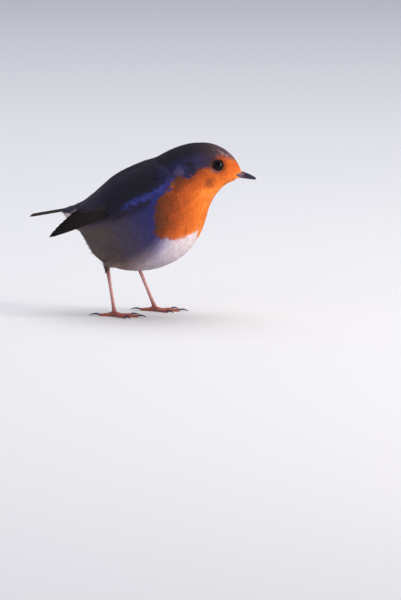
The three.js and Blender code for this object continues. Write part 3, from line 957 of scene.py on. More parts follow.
# pale streaks for the front of the crown: a painted highlight
CROWN_PAINTED_HIGHLIGHT = srgb(176, 140, 148)
NAPE_SLATE = srgb(48, 47, 84)
BACK_BROWN = srgb(38, 36, 52)
RUMP_BROWN = srgb(72, 60, 76)
# the flank's grey, made much bluer as painted shade
FLANK_GREY_IN_PAINTED_SHADE = srgb(64, 61, 112)
FLANK_BROWN = srgb(84, 74, 90)
REAR_BROWN = srgb(94, 80, 78)
# pale buff for the rear of the underside, partly its own colour and partly painted bounce light
REAR_PALE_AND_BOUNCE = srgb(146, 124, 110)
# the belly's own white, also standing for painted bounce light on the underside
BELLY_WHITE_AND_BOUNCE = srgb(236, 226, 232)
VENT_BUFF = srgb(226, 208, 204)
EYE_DUSK = srgb(62, 44, 48)
EYE_CRESCENT = srgb(140, 100, 92)
NECK_LILAC = srgb(112, 98, 142)


def spot(tree, across, up, middle, inner, outer):
    """1 within the inner distance of a place in the side view, falling to 0 at the outer one."""
    sideways = minus(tree, across, middle[0])
    upwards = minus(tree, up, middle[1])
    squares = sum_node(tree, "ADD", product(tree, sideways, sideways), product(tree, upwards, upwards))
    return rescale(tree, sum_node(tree, "SQRT", squares), inner, outer, 1.0, 0.0)


STIR = 2.4  # mm that the edges of the markings wander


def markings_and_painted_light_group():
    group, given, result = new_group(
        "robin_markings_and_painted_light",
        [("Mark", "NodeSocketVector"), ("Lines", "NodeSocketVector")],
        [("Color", "NodeSocketColor")],
    )

    def vector_sum(operation, *values):
        node = group.nodes.new("ShaderNodeVectorMath")
        node.operation = operation
        for socket, value in zip(node.inputs, values):
            feed(group, socket, value)
        return node.outputs[0]

    def ramp(*values):
        return rescale(group, *values)

    def mask(*values):
        return product(group, *values)

    def beyond(more, less):
        return sum_node(group, "MAXIMUM", minus(group, more, less), 0.0)

    def paint(share, over):
        nonlocal colour
        colour = blend(group, share, colour, over)

    still = vector_sum("MULTIPLY", given.outputs["Mark"], [1 / MM] * 3)
    stirred = noise(group, still, 0.45, 3.0, output=1)
    place = vector_sum("SUBTRACT", still, [STIR / 2] * 3)
    place = vector_sum("MULTIPLY_ADD", stirred, [STIR] * 3, place)
    x, y, z = split(group, place)
    along, rise, _ = split(group, given.outputs["Lines"])

    # crown, nape, back and rump, drawn darker and bluer than the bird's own olive brown: painted shade
    patches = ramp(noise(group, place, 0.13, 2.0), 0.56, 0.72)
    brown = sum_node(group, "MAXIMUM", patches, ramp(rise, 0.8, 0.92))
    nape = blend(group, brown, NAPE_SLATE, NAPE_BROWN)
    colour = blend(group, ramp(along, 3.4, 6.0), CROWN_BROWN, nape)
    paint(ramp(along, 6.5, 9), BACK_BROWN)
    paint(ramp(x, -12, -28, 0.0, 0.55), RUMP_BROWN)
    # pale streaks on the front of the crown, a painted highlight where light catches the feather tips
    streaks = noise(group, vector_sum("MULTIPLY", place, (0.35, 1.5, 1.2)), 0.8, 1.0)
    front_crown = mask(ramp(along, 4.6, 3.0), ramp(rise, 0.74, 0.88))
    paint(mask(ramp(streaks, 0.42, 0.6), front_crown, 0.7), CROWN_PAINTED_HIGHLIGHT)

    # flanks, belly and vent. The flanks and the belly's middle are drawn bluer and greyer than their
    # own colours as painted shade, and the underside paler as painted bounce light
    flank = mask(ramp(rise, 0.68, 0.52), ramp(along, 6.8, 8.2))
    paint(flank, blend(group, ramp(along, 9.3, 11.4), FLANK_GREY_IN_PAINTED_SHADE, FLANK_BROWN))
    low = times_plus(group, x, -0.006, rise)
    paint(mask(ramp(low, 0.23, 0.06), ramp(along, 6.5, 7.5)), colour_ramp(group, x, BELLY))
    # paler again along the very bottom: the belly's white and painted bounce light from below
    paint(mask(ramp(low, 0.1, 0.02), ramp(x, -7, 5), 0.55), BELLY_WHITE_AND_BOUNCE)
    paint(mask(ramp(along, 11.2, 12.4), flank, ramp(low, 0.1, 0.25)), REAR_BROWN)
    # the rear of the underside made paler: partly its own buff, partly painted bounce light on a
    # surface facing down
    paint(mask(ramp(rise, 0.2, 0.05), ramp(x, 0, -12), 0.7), REAR_PALE_AND_BOUNCE)
    below_tail = ramp(times_plus(group, x, -0.19, z), 61.8, 60.0)
    paint(mask(ramp(x, -31.5, -34.0), ramp(z, 47.5, 50.0), below_tail), VENT_BUFF)

    # the band behind the bib, the streak at the wing's edge, and the pale spot of the neck. The band's
    # own blue-grey is deepened by painted shade, and the streak is blue-grey feathers lightened as a
    # painted highlight
    band = use_group(group, BIB, Place=place, Widen=3.4, Softness=2.0).outputs[0]
    fading = ramp(z, 44, 58, 0.3, 0.95)
    paint(mask(band, ramp(rise, 0.14, 0.3), ramp(z, 77, 71), fading), BAND_BLUE_AND_PAINTED_SHADE)
    off_streak = sum_node(group, "ABSOLUTE", minus(group, z, outline(group, x, STREAK)))
    ends = mask(ramp(x, -7, -2), ramp(x, 19.5, 15))
    paint(mask(ramp(off_streak, 0.5, 2.2, 1.0, 0.0), ends), STREAK_BLUE_HIGHLIGHT)
    paint(mask(spot(group, x, z, (22.6, 78.8), 0.6, 3.4), 0.6), NECK_LILAC)

    # the bib, warmer to the front and below. The dark rusty back edge is partly the bird's own rust
    # and partly painted shade, and the pale front is painted light from the key lamp
    warmth_and_painted_light = times_plus(group, noise(group, place, 0.22, 2.0), 9.0, -4.5)
    warmth_and_painted_light = sum_node(group, "ADD", warmth_and_painted_light, x)
    warmth_and_painted_light = times_plus(group, beyond(z, 67.5), -1.1, warmth_and_painted_light)
    on_face = mask(beyond(x, 33.0), ramp(z, 84, 80))
    warmth_and_painted_light = times_plus(group, on_face, -0.5, warmth_and_painted_light)
    warmth_and_painted_light = times_plus(group, beyond(52.0, z), 0.6, warmth_and_painted_light)
    smudge = mask(spot(group, x, z, (36.4, 72.2), 0.5, 4.2), 0.7)
    orange = blend(group, smudge, colour_ramp(group, warmth_and_painted_light, ORANGE_WITH_PAINTED_LIGHT), CHEEK_RUST)
    paint(use_group(group, BIB, Place=place, Widen=0.0, Softness=0.9).outputs[0], orange)

    # dusk round the eye, and a pale crescent below it
    x, _, z = split(group, still)
    eye_x = EYE_X + SOLID_SHIFT
    paint(mask(spot(group, x, z, (eye_x - 1.3, EYE_Z + 0.2), 2.8, 4.6), 0.85), EYE_DUSK)
    crescent = spot(group, x, z, (eye_x - 0.6, EYE_Z - 0.8), 3.2, 4.0)
    below_eye = ramp(minus(group, z, EYE_Z), -1.2, -2.2)
    paint(mask(crescent, below_eye, 0.75), EYE_CRESCENT)
    group.links.new(colour, result.inputs["Color"])
    return group


MARKINGS_AND_PAINTED_LIGHT = markings_and_painted_light_group()

# %% [markdown]
# Two small effects are shared by several materials, so each is a node group too. One darkens or
# lightens a colour by a number. The other gives each feather, and each barb of it, its own tone at
# random. It also darkens each feather towards its root, partly for the grey down at its base and
# partly as painted shade under the feathers that lie over it.


# %% Shading that many materials share
def shade_group():
    group, given, result = new_group(
        "shade",
        [("Color", "NodeSocketColor"), ("Light", "NodeSocketFloat")],
        [("Color", "NodeSocketColor")],
    )
    grey = group.nodes.new("ShaderNodeCombineColor")
    for socket in grey.inputs[:3]:
        group.links.new(given.outputs["Light"], socket)
    colour = blend(group, 1.0, given.outputs["Color"], grey.outputs[0], "MULTIPLY")
    group.links.new(colour, result.inputs["Color"])
    return group


def feather_tone_and_root_shade_group():
    group, given, result = new_group(
        "feather_tone_and_root_shade", [("Vane", "NodeSocketVector")], [("Light", "NodeSocketFloat")]
    )
    along, barb, tint = split(group, given.outputs["Vane"])
    # darker towards the root: partly the grey down, partly painted shade under the feathers above
    light = rescale(group, along, 0.3, 1.1, 0.86, 1.06)
    light = times_plus(group, minus(group, tint, 0.5), 0.14, light)
    light = times_plus(group, minus(group, barb, 0.5), 0.2, light)
    group.links.new(light, result.inputs["Light"])
    return group


SHADE = shade_group()
FEATHER_TONE_AND_ROOT_SHADE = feather_tone_and_root_shade_group()


def shaded(tree, colour, light):
    return use_group(tree, SHADE, Color=colour, Light=light).outputs["Color"]


# %% The coat's material
def plumage_material(name, dimmed=False, plain=None):
    looks = {"sheen_weight": 0.07, "sheen_roughness": 0.5, "specular_ior_level": 0.15}
    material = new_material(name, 0.85, **looks)
    tree, shader = wires(material)
    if plain:
        colour = plain
    else:
        marks = {"Mark": named_vector(tree, "mark"), "Lines": named_vector(tree, "lines")}
        colour = use_group(tree, MARKINGS_AND_PAINTED_LIGHT, **marks).outputs[0]
    if dimmed:
        colour = blend(tree, 1.0, colour, (0.86, 0.84, 0.82, 1), "MULTIPLY")
    else:
        light = use_group(tree, FEATHER_TONE_AND_ROOT_SHADE, Vane=named_vector(tree, "vane"))
        colour = shaded(tree, colour, light.outputs["Light"])
    tree.links.new(colour, shader.inputs["Base Color"])
    return material


PLUMAGE = plumage_material("plumage")
SKIN_FINISH = plumage_material("skin_under_plumage", dimmed=True)
CUFF_PLUMAGE = plumage_material("cuff_plumage", plain=srgb(70, 56, 56))
WING_PLUMAGE = plumage_material("wing_plumage", plain=srgb(42, 38, 50))
WISP_PLUMAGE = plumage_material("wisp_plumage", plain=srgb(118, 104, 100))

# %% [markdown]
# ## The coat, region by region
#
# Short feathers clothe the face, longer ones the neck and body, and the longest hang at the belly
# and under the tail. One throw of roots is shared out by region, which keeps each piece light.

# %% Growing it
# millimetres, for each slice of the body
LENGTH = [1.4, 1.7, 2.1, 2.5, 3.1, 3.8, 4.7, 5.8, 6.7, 7.2, 7.6, 7.8, 8.0, 8.2, 8.6, 8.2, 6.6]
WING_LENGTH = 5.2  # mm
ASPECT = 0.52  # a feather's width over its length
GAPE = (47.0, 75.2)  # the corner of the mouth, in the side view of the straight head


def bare_gape(points):
    """Whether a point lies in the bare wedge between the corner of the mouth and the bill."""
    ahead, above = points[:, 0] - GAPE[0], points[:, 2] - GAPE[1]
    return (ahead > 0) & (above < 0.38 * ahead) & (above > -0.85 * ahead)


mark, lines = marks_at(SKIN.points)
give_vectors(skin, "mark", mark * MM)
give_vectors(skin, "lines", lines)
skin.data.materials.append(SKIN_FINISH)
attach(skin, "root")
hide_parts(*FLESH)

straight_roots, root_along, root_rise = unturned(roots)
straight_roots -= (SOLID_SHIFT, 0, 0)
wing_gap = distance_to(WING_TREE, roots)
thigh_gap = distance_to(THIGH_TREE, roots)
eye_gap = np.min([np.linalg.norm(roots - eye, axis=1) for eye in EYE_PLACES], axis=0)
lengths = np.interp(root_along, np.arange(len(LENGTH)), LENGTH)
lengths += nearness(np.minimum(wing_gap, thigh_gap)) * (WING_LENGTH - lengths)
lengths *= rng.uniform(0.85, 1.15, len(roots)) * np.interp(eye_gap, EYE_REACH, [0.42, 1])
widths = lengths * ASPECT * rng.uniform(0.9, 1.1, len(roots))
lifts = coat_depth(roots) * rng.uniform(0.9, 1.02, len(roots))
lifts *= np.interp(eye_gap, EYE_REACH, [0.5, 1])

on_wing = wing_gap < 1.6
lesser = ahead_on_wing(roots) > 28.0  # behind these the wing is covered from outside, below
grows = (~on_wing | lesser) & (eye_gap > EYE_RADIUS + 0.1) & ~bare_gape(straight_roots)
on_tail_base = roots[:, 0] < -31
regions = {
    "coat_head": (root_along < 5.5, "plumage_orange"),
    "coat_neck": ((root_along >= 5.5) & (root_along < 7.5), "plumage_orange"),
    "coat_breast": ((root_along >= 7.5) & (root_along < 9.5), "plumage_orange"),
    "coat_trunk": ((root_along >= 9.5) & (root_along < 11.5), "plumage_grey"),
    "coat_belly": ((root_along >= 11.5) & (root_along < 13), "plumage_grey"),
    "coat_rump": (root_along >= 13, "plumage_brown"),
}
for name, (here, slot) in regions.items():
    here = here & grows & ~on_wing & ~on_tail_base
    piece = lay_feathers(name, SKIN, roots[here], lengths[here], widths[here], lifts[here])
for word, side in SIDES:
    here = on_wing & grows & (roots[:, 1] * side > 0)
    name = f"coat_shoulder_{word}"
    piece = lay_feathers(name, SKIN, roots[here], lengths[here], widths[here], lifts[here])

# %% [markdown]
# ## Feathers that lap over the wing
#
# The folded wing is held in a pocket: scapular feathers from the back lap over its upper edge, and
# loose flank feathers lap over its lower edge. They lie on the outside of the whole bird, so a
# second surface is made for them, of the solids with the whole wing, and thrown away afterwards.

# %% Scapulars and flank feathers
# upper and lower edge of the folded wing in the side view, in millimetres
WING_TOP = [(19.2, 76.6), (9, 80.2), (1, 77.4), (-7.4, 72.8), (-15.6, 68), (-23.8, 62.4)]
WING_LOW = [(19.4, 71.4), (14.4, 68.4), (7.4, 64.8), (-0.8, 60.6), (-9.6, 56.0), (-18.8, 52.2)]
FLANK_LIE = np.array([-0.93, 0, -0.34])
SINK = 0.3  # mm that the uppermost scapulars dip into the coat of the back

long_parts = [f"wing_{word}_{part}" for word, _ in SIDES for part in ("secondaries", "primaries")]
copies = [copy_of_node(name) for name in FLESH + long_parts]
for copy in copies:
    apply_modifier(copy, "DISPLACE", strength=SWELL * MM, mid_level=0)
shell = join("outer_shell", copies)
close_grooves(shell)
apply_modifier(shell, "SMOOTH", factor=0.5, iterations=10)
OUTER = Ground(shell)
bpy.data.objects.remove(shell, do_unlink=True)


def above_line(points, line):
    """How far each point lies above a falling line in the side view."""
    line = np.array(line, float)
    order = np.argsort(line[:, 0])
    level = np.interp(points[:, 0], line[order, 0], line[order, 1])
    return (points[:, 2] - level) * 0.9


def flank_lie(points, normals):
    lie = FLANK_LIE - (normals * FLANK_LIE).sum(1, keepdims=True) * normals
    return unit(lie)


def scapular_lie(points, normals):
    return unit(coat_lie(points, normals) + 0.6 * flank_lie(points, normals))


outer_roots = throw_roots(OUTER)
x = outer_roots[:, 0]
over_top = above_line(outer_roots, WING_TOP)
over_low = above_line(outer_roots, WING_LOW)
over_wing = ahead_on_wing(outer_roots)
reach_up = np.interp(x, [-30, -20, 0, 15], [2.0, 4.5, 7.0, 3.0])


def lay_over(name, here, lengths, spread, lift_range, lie_of, within=1.0, **looks):
    """A coat piece on the outside of the whole bird, from the roots that are here."""
    some = outer_roots[here]
    size = rng.uniform(*spread, len(some)) * lengths
    lift = rng.uniform(*lift_range, len(some)) * within - SINK * (1 - within)
    widths = size * looks.pop("aspect", ASPECT)
    return lay_feathers(name, OUTER, some, size, widths, lift, lie_of, **looks)


for word, side in SIDES:
    mine = outer_roots[:, 1] * side > 6
    reach_down = np.interp(x, [-25, -19, -12, -4, 3], [-3.0, -4.3, -6.8, -6.6, -0.8])
    reach_down = reach_down + rng.uniform(-0.6, 0.6, len(x))
    here = mine & (over_top > reach_down) & (over_top < reach_up) & (x > -26) & (x < 14)
    lengths = np.interp(x[here], [-25, 0, 14], [7.0, 7.0, 5.0])
    within = smoothstep((reach_up - over_top)[here], 0.0, 3.0)  # 0 at the upper border
    how = ((0.85, 1.15), (0.45, 0.75), scapular_lie, within)
    piece = lay_over(f"coat_scapulars_{word}", here, lengths, *how)

    ragged = rng.uniform(21.5, 25.5, len(x))
    here = mine & (over_top <= reach_down) & (over_low > 2.4) & (over_wing > ragged) & (x < 13.5)
    how = ((0.85, 1.15), (0.5, 0.8), flank_lie)
    piece = lay_over(f"coat_wing_{word}", here, 5.6, *how, aspect=0.5, finish=WING_PLUMAGE)

    here = mine & (over_low > -2.6) & (over_low < 3.3 + 0.03 * x) & (x > -7) & (x < 19)
    lengths = np.interp(x[here], [-6, 8, 19], [7.0, 7.0, 5])
    piece = lay_over(f"coat_flank_{word}", here, lengths, (0.8, 1.2), (0.5, 0.8), flank_lie)

# %% [markdown]
# ## Feathered shanks' tops, and loose wisps
#
# Above the bare shank each leg wears a cuff of dark short feathers. At the back of the belly and
# under the tail the coat is loose and hairy, and its thin tips hang free of the body.

# %% Cuffs and wisps
CUFF_ROWS, CUFF_AROUND = 6, 13
WISPS = [fringe(15, 0.5, 0.9, 0.05, seed) for seed in range(20, 24)]


def cuff(word, side):
    heel = np.array(HEELS[side])
    heel[2] -= 0.8
    above = heel + (-0.4, -side * 0.4, 6.5)
    axis = unit(above - heel)
    across = unit(np.cross(axis, (0, 1, 0)))
    other = np.cross(axis, across)
    places, normals = [], []
    for row in range(CUFF_ROWS):
        share = row / (CUFF_ROWS - 1)
        for number in range(CUFF_AROUND):
            angle = 2 * math.pi * (number + 0.5 * (row % 2)) / CUFF_AROUND
            out = across * math.cos(angle) + other * math.sin(angle)
            places.append(heel + (above - heel) * share + out * (0.8 + 1.1 * share))
            normals.append(out)
    places, normals = np.array(places), np.array(normals)
    lie = unit(-axis + 0.05 * normals + rng.normal(0, 0.05, places.shape))
    sizes = rng.uniform(2.6, 3.8, len(places))
    laid = hanging_shafts(places, normals, lie, sizes, 0.1)
    piece = feathers(f"coat_cuff_{word}", places, laid, sizes * 0.45, finish=CUFF_PLUMAGE)


for word, side in SIDES:
    cuff(word, side)

behind_legs = (roots[:, 0] < -14) & (root_rise < 0.3)
loose = (root_along > 10.8) & (root_along < 14.6) & (root_rise < 0.55) & (wing_gap > 2.0)
loose &= (thigh_gap > 0.5) & (rng.random(len(roots)) < np.where(behind_legs, 0.6, 0.3))
some = roots[loose]
_, normal, _ = SKIN.nearest(some)
lie = unit(coat_lie(some, normal) + normal * rng.uniform(0.05, 0.26, (len(some), 1)))
size = rng.uniform(3.0, 4.8, len(some))
laid = hanging_shafts(some + normal * 0.8, normal, lie, size, 0.5)
piece = feathers("coat_wisps", some, laid, size * 0.26, WISPS, WISP_PLUMAGE)

# %% Coverts over and under the root of the tail
TAIL_SLOPE = math.radians(11)
TAIL_LIE = np.array([-math.cos(TAIL_SLOPE), 0, -math.sin(TAIL_SLOPE)])

some = roots[on_tail_base]
_, normal, _ = SKIN.nearest(some)
outside = normal[:, 0] > -0.8  # not on the cut end of the skin
some, normal = some[outside], normal[outside]
lie = unit(0.35 * coat_lie(some, normal) + TAIL_LIE)
size = rng.uniform(0.85, 1.1, len(some)) * np.interp(some[:, 0], [-37, -31], [6.0, 8.5])
size *= np.interp(some[:, 2], [45, 50, 55], [0.35, 0.55, 1.0])
laid = hanging_shafts(some + normal * 0.5, normal, lie, size, 0.0)
piece = feathers("coat_tail_coverts", some, laid, size * 0.42)

# %% [markdown]
# ## The folded wing
#
# A folded wing is a stack of long feathers, each tucked under the next one nearer the back, so that
# of most of them only a narrow outer web shows. The solid wing gives the surface they lie on. It is
# read as a map of heights seen from the side, softened so that no facet shows, and every vane is
# drawn in that side view, by its root and its tip, and then set on the map.

# %% The surface that a wing's feathers lie on
MAP_STEP = 0.75  # mm
MAP_X = np.arange(-54, 26, MAP_STEP)
MAP_Z = np.arange(30, 94, MAP_STEP)


def height_map(names, side, soften):
    """How far out to the side the outermost surface lies, for places in the side view."""
    tree = search_tree(names)
    heights = np.full((len(MAP_X), len(MAP_Z)), np.nan)
    for i, x in enumerate(MAP_X):
        for j, z in enumerate(MAP_Z):
            hit = tree.ray_cast((x, side * 60, z), (0, -side, 0))[0]
            if hit is not None:
                heights[i, j] = side * hit[1]
    shifts = [(0, 1), (0, -1), (1, 0), (-1, 0)]
    while np.isnan(heights).any():
        around = np.array([np.roll(heights, shift, axis=(0, 1)) for shift in shifts])
        known = ~np.isnan(around)
        spread = np.where(known, around, 0).sum(0) / np.maximum(known.sum(0), 1)
        heights = np.where(np.isnan(heights) & known.any(0), spread, heights)
    for _ in range(soften):
        heights = 0.5 * heights + sum(np.roll(heights, s, axis=(0, 1)) for s in shifts) / 8
    return heights


def height_at(heights, x, z):
    u = np.clip((x - MAP_X[0]) / MAP_STEP, 0, len(MAP_X) - 1.001)
    v = np.clip((z - MAP_Z[0]) / MAP_STEP, 0, len(MAP_Z) - 1.001)
    i, j = u.astype(int), v.astype(int)
    a, b = u - i, v - j
    low = heights[i, j] * (1 - b) + heights[i, j + 1] * b
    high = heights[i + 1, j] * (1 - b) + heights[i + 1, j + 1] * b
    return low * (1 - a) + high * a


# %% [markdown]
# A vane is a grid of quads along and across its shaft. The outer web is narrower than the inner
# one, the tip is rounded, and the web droops a little to both sides of the shaft. The outer edge is
# set higher than the inner one, so that feathers tile without touching.

# %% One long vane
VANE_ALONG = 16
VANE_ACROSS = np.array([-1, -0.66, -0.33, 0, 0.06, 0.5, 1])  # inner rim, shaft at 0, outer rim


def vane_grid(root, tip, bow, inner, outer, tip_length):
    """Places in the side view, place along, and place across, for a vane from root to tip."""
    t = np.linspace(0, 1, VANE_ALONG) ** 0.85
    root, tip = np.array(root, float), np.array(tip, float)
    axis = tip - root
    length = np.hypot(*axis)
    below = np.array([axis[1], -axis[0]]) / length
    if below[1] > 0:
        below = -below
    shaft = root + t[:, None] * axis + (4 * bow * t * (1 - t))[:, None] * below
    slope = np.gradient(shaft, axis=0)
    slope /= np.linalg.norm(slope, axis=1, keepdims=True)
    outwards = np.stack([slope[:, 1], -slope[:, 0]], axis=1)
    outwards *= np.sign((outwards * below).sum(1, keepdims=True))
    from_tip = (1 - t) * length / tip_length
    rounding = np.sqrt(np.clip(1 - (1 - np.clip(from_tip, 0, 1)) ** 2, 0, 1))
    growing = np.clip(0.45 + t / 0.25 * 0.55, 0, 1)
    widths = np.where(VANE_ACROSS < 0, inner, outer)[None, :] * (rounding * growing)[:, None]
    places = shaft[:, None, :] + outwards[:, None, :] * (widths * VANE_ACROSS)[:, :, None]
    return places, np.repeat(t[:, None], len(VANE_ACROSS), 1), np.tile(VANE_ACROSS, (VANE_ALONG, 1))


def join_vanes(name, vanes, thickness, facing):
    """A piece of vanes, each given as its corners, place along and place across."""
    rows, columns = VANE_ALONG, len(VANE_ACROSS)
    corner = np.arange(rows * columns).reshape(rows, columns)
    quads = np.stack([corner[:-1, :-1], corner[1:, :-1], corner[1:, 1:], corner[:-1, 1:]], -1)
    points, faces, marks = [], [], []
    for number, (places, t, across) in enumerate(vanes):
        outwards = 1 if facing[number] else -1
        points.append(places.reshape(-1, 3))
        faces.append(quads.reshape(-1, 4)[:, ::outwards] + number * rows * columns)
        tint = np.full(rows * columns, rng.random())
        marks.append(np.column_stack([t.ravel(), across.ravel() * 0.5 + 0.5, tint]))
    piece = mesh_object(name, np.concatenate(points), np.concatenate(faces))
    give_vectors(piece, "vane", np.concatenate(marks))
    apply_modifier(piece, "SOLIDIFY", thickness=thickness * MM, offset=-1)
    piece.data.shade_smooth()
    piece.data.materials.append(FLIGHT)
    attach(piece, "root")
    print(name, len(vanes), "vanes,", len(piece.data.polygons), "faces")
    return piece


def vane_on_map(side, heights, root, tip, bow, inner, outer, tip_length, tilt, sunk, raised):
    """One vane on the side of the bird, tilted across and sunk at its root."""
    places, t, across = vane_grid(root, tip, bow, inner, outer, tip_length)
    x, z = places[:, :, 0], places[:, :, 1]
    out = height_at(heights, x, z) + raised - sunk * (1 - t) ** 1.5
    out += tilt * across + 0.1 * (1 - np.abs(across)) - 0.05
    return np.stack([x, side * out, z], axis=-1), t, across


def on_line(points, share):
    """A place at a share of the length of a line of a few points."""
    points = np.array(points, float)
    steps = np.hypot(*np.diff(points, axis=0).T)
    reach = np.concatenate([[0], np.cumsum(steps)]) / steps.sum()
    return np.array([np.interp(share, reach, points[:, 0]), np.interp(share, reach, points[:, 1])])


# %% [markdown]
# A robin's wing has nine long primaries, six secondaries and three tertials. Folded, their roots
# gather below the shoulder and their tips step up the hind edge from the wing's point to the back.
# The short feathers of the shoulder and the scapulars, laid before, hide the roots.

# %% Primaries, secondaries and tertials
WING_ROOTS = [(4.5, 62.4), (1.5, 65.0), (-0.5, 67.2), (0.5, 69.5)]
WING_TIPS = [(-48.7, 40.3), (-43.8, 45.6), (-37.5, 51.3), (-29.5, 56.4), (-21.5, 60.2), (-13.0, 62.8)]
PRIMARIES, SECONDARIES, TERTIALS = 9, 6, 3


def long_vanes():
    """Root, tip, bow, inner and outer web, rounded length at the tip, tilt, sunk root and rise."""
    vanes = []
    for number in range(PRIMARIES):
        share = number / (PRIMARIES - 1)
        root = on_line(WING_ROOTS, 0.36 * share)
        tip = on_line(WING_TIPS, 0.5 * max(0, share - 0.1) / 0.9)
        if number == 0:
            tip += (4.0, 1.7)
        vanes.append((root, tip, 0.3, 3.0, 0.8, 10.0, 0.28, 0.7, 0.0))
    for number in range(SECONDARIES):
        share = number / (SECONDARIES - 1)
        root = on_line(WING_ROOTS, 0.42 + 0.3 * share)
        tip = on_line(WING_TIPS, 0.54 + 0.2 * share)
        vanes.append((root, tip, 0.5, 3.6, 1.0, 6.0, 0.3, 0.7, 0.1))
    for number in range(TERTIALS):
        share = number / (TERTIALS - 1)
        root = on_line(WING_ROOTS, 0.78 + 0.2 * share)
        tip = on_line(WING_TIPS, 0.77 + 0.11 * share)
        vanes.append((root, tip, 0.5, 2.6, 1.4, 6.0, 0.3, 0.7, 0.05 - 0.2 * share))
    return vanes


FLIGHT = new_material("flight_feather", 0.66, specular_ior_level=0.12)
for word, side in SIDES:
    solids = [f"wing_{word}_{part}" for part in ("coverts", "secondaries", "primaries")]
    wing_map = height_map(solids, side, 6)
    vanes = [vane_on_map(side, wing_map, *vane) for vane in long_vanes()]
    wing = join_vanes(f"flight_feathers_{word}", vanes, 0.12, [side < 0] * len(vanes))
    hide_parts(solids[1], solids[2])

# %% [markdown]
# ## The tail
#
# Twelve tail feathers lie almost closed, the middle pair on top and each next one a little lower and
# further out. The same vane is used as in the wing, drawn from above this time.

# %% Twelve tail feathers
TAIL_FEATHERS = 12
TAIL_ROOT = (-27.5, 58.0)  # mm, in the side view
TAIL_LENGTH = 33.2  # mm
TAIL_SPREAD = 5.4  # mm from the middle to the tip of the outermost shaft
TAIL_ARCH = 0.9  # mm that the rims hang below the middle


def tail_vane(side, pair):
    """One tail feather, of the pairs from the middle (0) outwards (5)."""
    spread = (pair + 0.35) / 5.35
    length = TAIL_LENGTH - 0.9 * (1 - spread) - 1.2 * max(0, spread - 0.6)
    root, tip = (0, -0.6 * spread), (length, -TAIL_SPREAD * spread)
    places, t, across = vane_grid(root, tip, 0.3, 2.6, 1.9 - 0.9 * spread, 3.2)
    reach, out = places[:, :, 0], -places[:, :, 1]
    stacked = 0.06 + 0.25 * (1 - t)
    drop = TAIL_ARCH * (out / 7) ** 2 + stacked * pair + 0.04 * side
    drop += 0.1 * np.abs(across) - 0.08 * across
    x = TAIL_ROOT[0] - reach * math.cos(TAIL_SLOPE) - drop * math.sin(TAIL_SLOPE)
    z = TAIL_ROOT[1] - reach * math.sin(TAIL_SLOPE) - drop * math.cos(TAIL_SLOPE)
    return np.stack([x, side * out, z], axis=-1), t, across


sides = [-1, 1] * (TAIL_FEATHERS // 2)
vanes = [tail_vane(side, number // 2) for number, side in enumerate(sides)]
tail = join_vanes("tail_feathers", vanes, 0.14, [side > 0 for side in sides])
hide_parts("tail")

# %% [markdown]
# ## The bill
#
# The solid bill has flat facets. Remeshing a copy finely and smoothing it gives the horn its even
# curve. Its hind end is then drawn back under the face feathers, and its sides further back and
# apart, to the corners of the mouth. A nostril is pressed into each side of the upper half.

# %% Upper and lower bill
BILL_BASE = on_head(51.6, 0, 75.1)
BILL_PITCH = math.radians(13)
FORWARD = turn_about_neck(np.array([[1.0 + PIVOT_X, 0, 0]]), HEAD_TURN)[0] - (PIVOT_X, 0, 0)
BILL_AXIS = FORWARD * math.cos(BILL_PITCH) - np.array([0, 0, math.sin(BILL_PITCH)])
BILL_SIDE = np.array([-FORWARD[1], FORWARD[0], 0])
BILL_UP = np.cross(BILL_AXIS, BILL_SIDE)
BILL_CLOSE = 0.16  # mm that each half moves towards the other, to shut the bill


def move_corners(obj, change):
    """Passes the corners, in millimetres, through a function of places and normals."""
    points, normals, _ = corners_of(obj)
    place_corners(obj, change(points, normals))


def shape_bill(points, normals):
    local = points - BILL_BASE
    reach = local @ BILL_AXIS
    side, up = local @ BILL_SIDE, local @ BILL_UP
    hind = 1 - smoothstep(reach, 0.0, 2.2)
    to_mouth = hind * smoothstep(np.abs(side), 0.7, 2.0) * np.sign(side)
    points = points - (2.4 * hind + 2.6 * np.abs(to_mouth))[:, None] * BILL_AXIS
    points += (3.0 * to_mouth)[:, None] * BILL_SIDE
    close = BILL_CLOSE + 0.12 * smoothstep(reach, 2.0, 9.0)
    points -= (np.sign(up) * close + 0.45 * up * np.abs(to_mouth))[:, None] * BILL_UP
    points += (0.24 * smoothstep(reach, 2.0, 7.0))[:, None] * normals
    past_tip = np.maximum(reach - 8.5, 0)
    points -= (0.75 * past_tip)[:, None] * BILL_AXIS
    nostril = np.hypot((reach - 2.3) / 0.95, (up - 0.85) / 0.33)
    pit = 0.3 * (1 - smoothstep(nostril, 0.3, 1.2)) * (np.abs(side) > 0.5)
    points -= (pit * np.sign(side))[:, None] * BILL_SIDE
    return points


HORN = new_material("bill_and_claw_horn", 0.38, specular_ior_level=0.3)
for half in ("bill_upper", "bill_lower"):
    piece = join(half + "_horn", [copy_of_node(half)])
    remesh(piece, 0.14)
    apply_modifier(piece, "SMOOTH", factor=0.5, iterations=4)
    move_corners(piece, shape_bill)
    piece.data.shade_smooth()
    piece.data.materials.append(HORN)
    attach(piece, "root")
    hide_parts(half)
    print(piece.name, len(piece.data.polygons), "faces")

# %% [markdown]
# ## The eyes
#
# A bird's eye is a large ball of which the lids show only a round window. The ball is a sphere whose
# pole looks out of the head, so that the pupil and iris are rings of its faces. The lids are a thin
# ring of bare skin that hugs it.

# %% Eyeballs and lids
EYE_OPENING = 2.62  # mm, half the width of the round window
PUPIL = 0.62  # share of the window

EYE = new_material("eye", 0.07, specular_ior_level=0.15)
PUPIL_BLACK = new_material("pupil", 0.06, specular_ior_level=0.15)
LID = new_material("eyelid", 0.8, specular_ior_level=0.15)

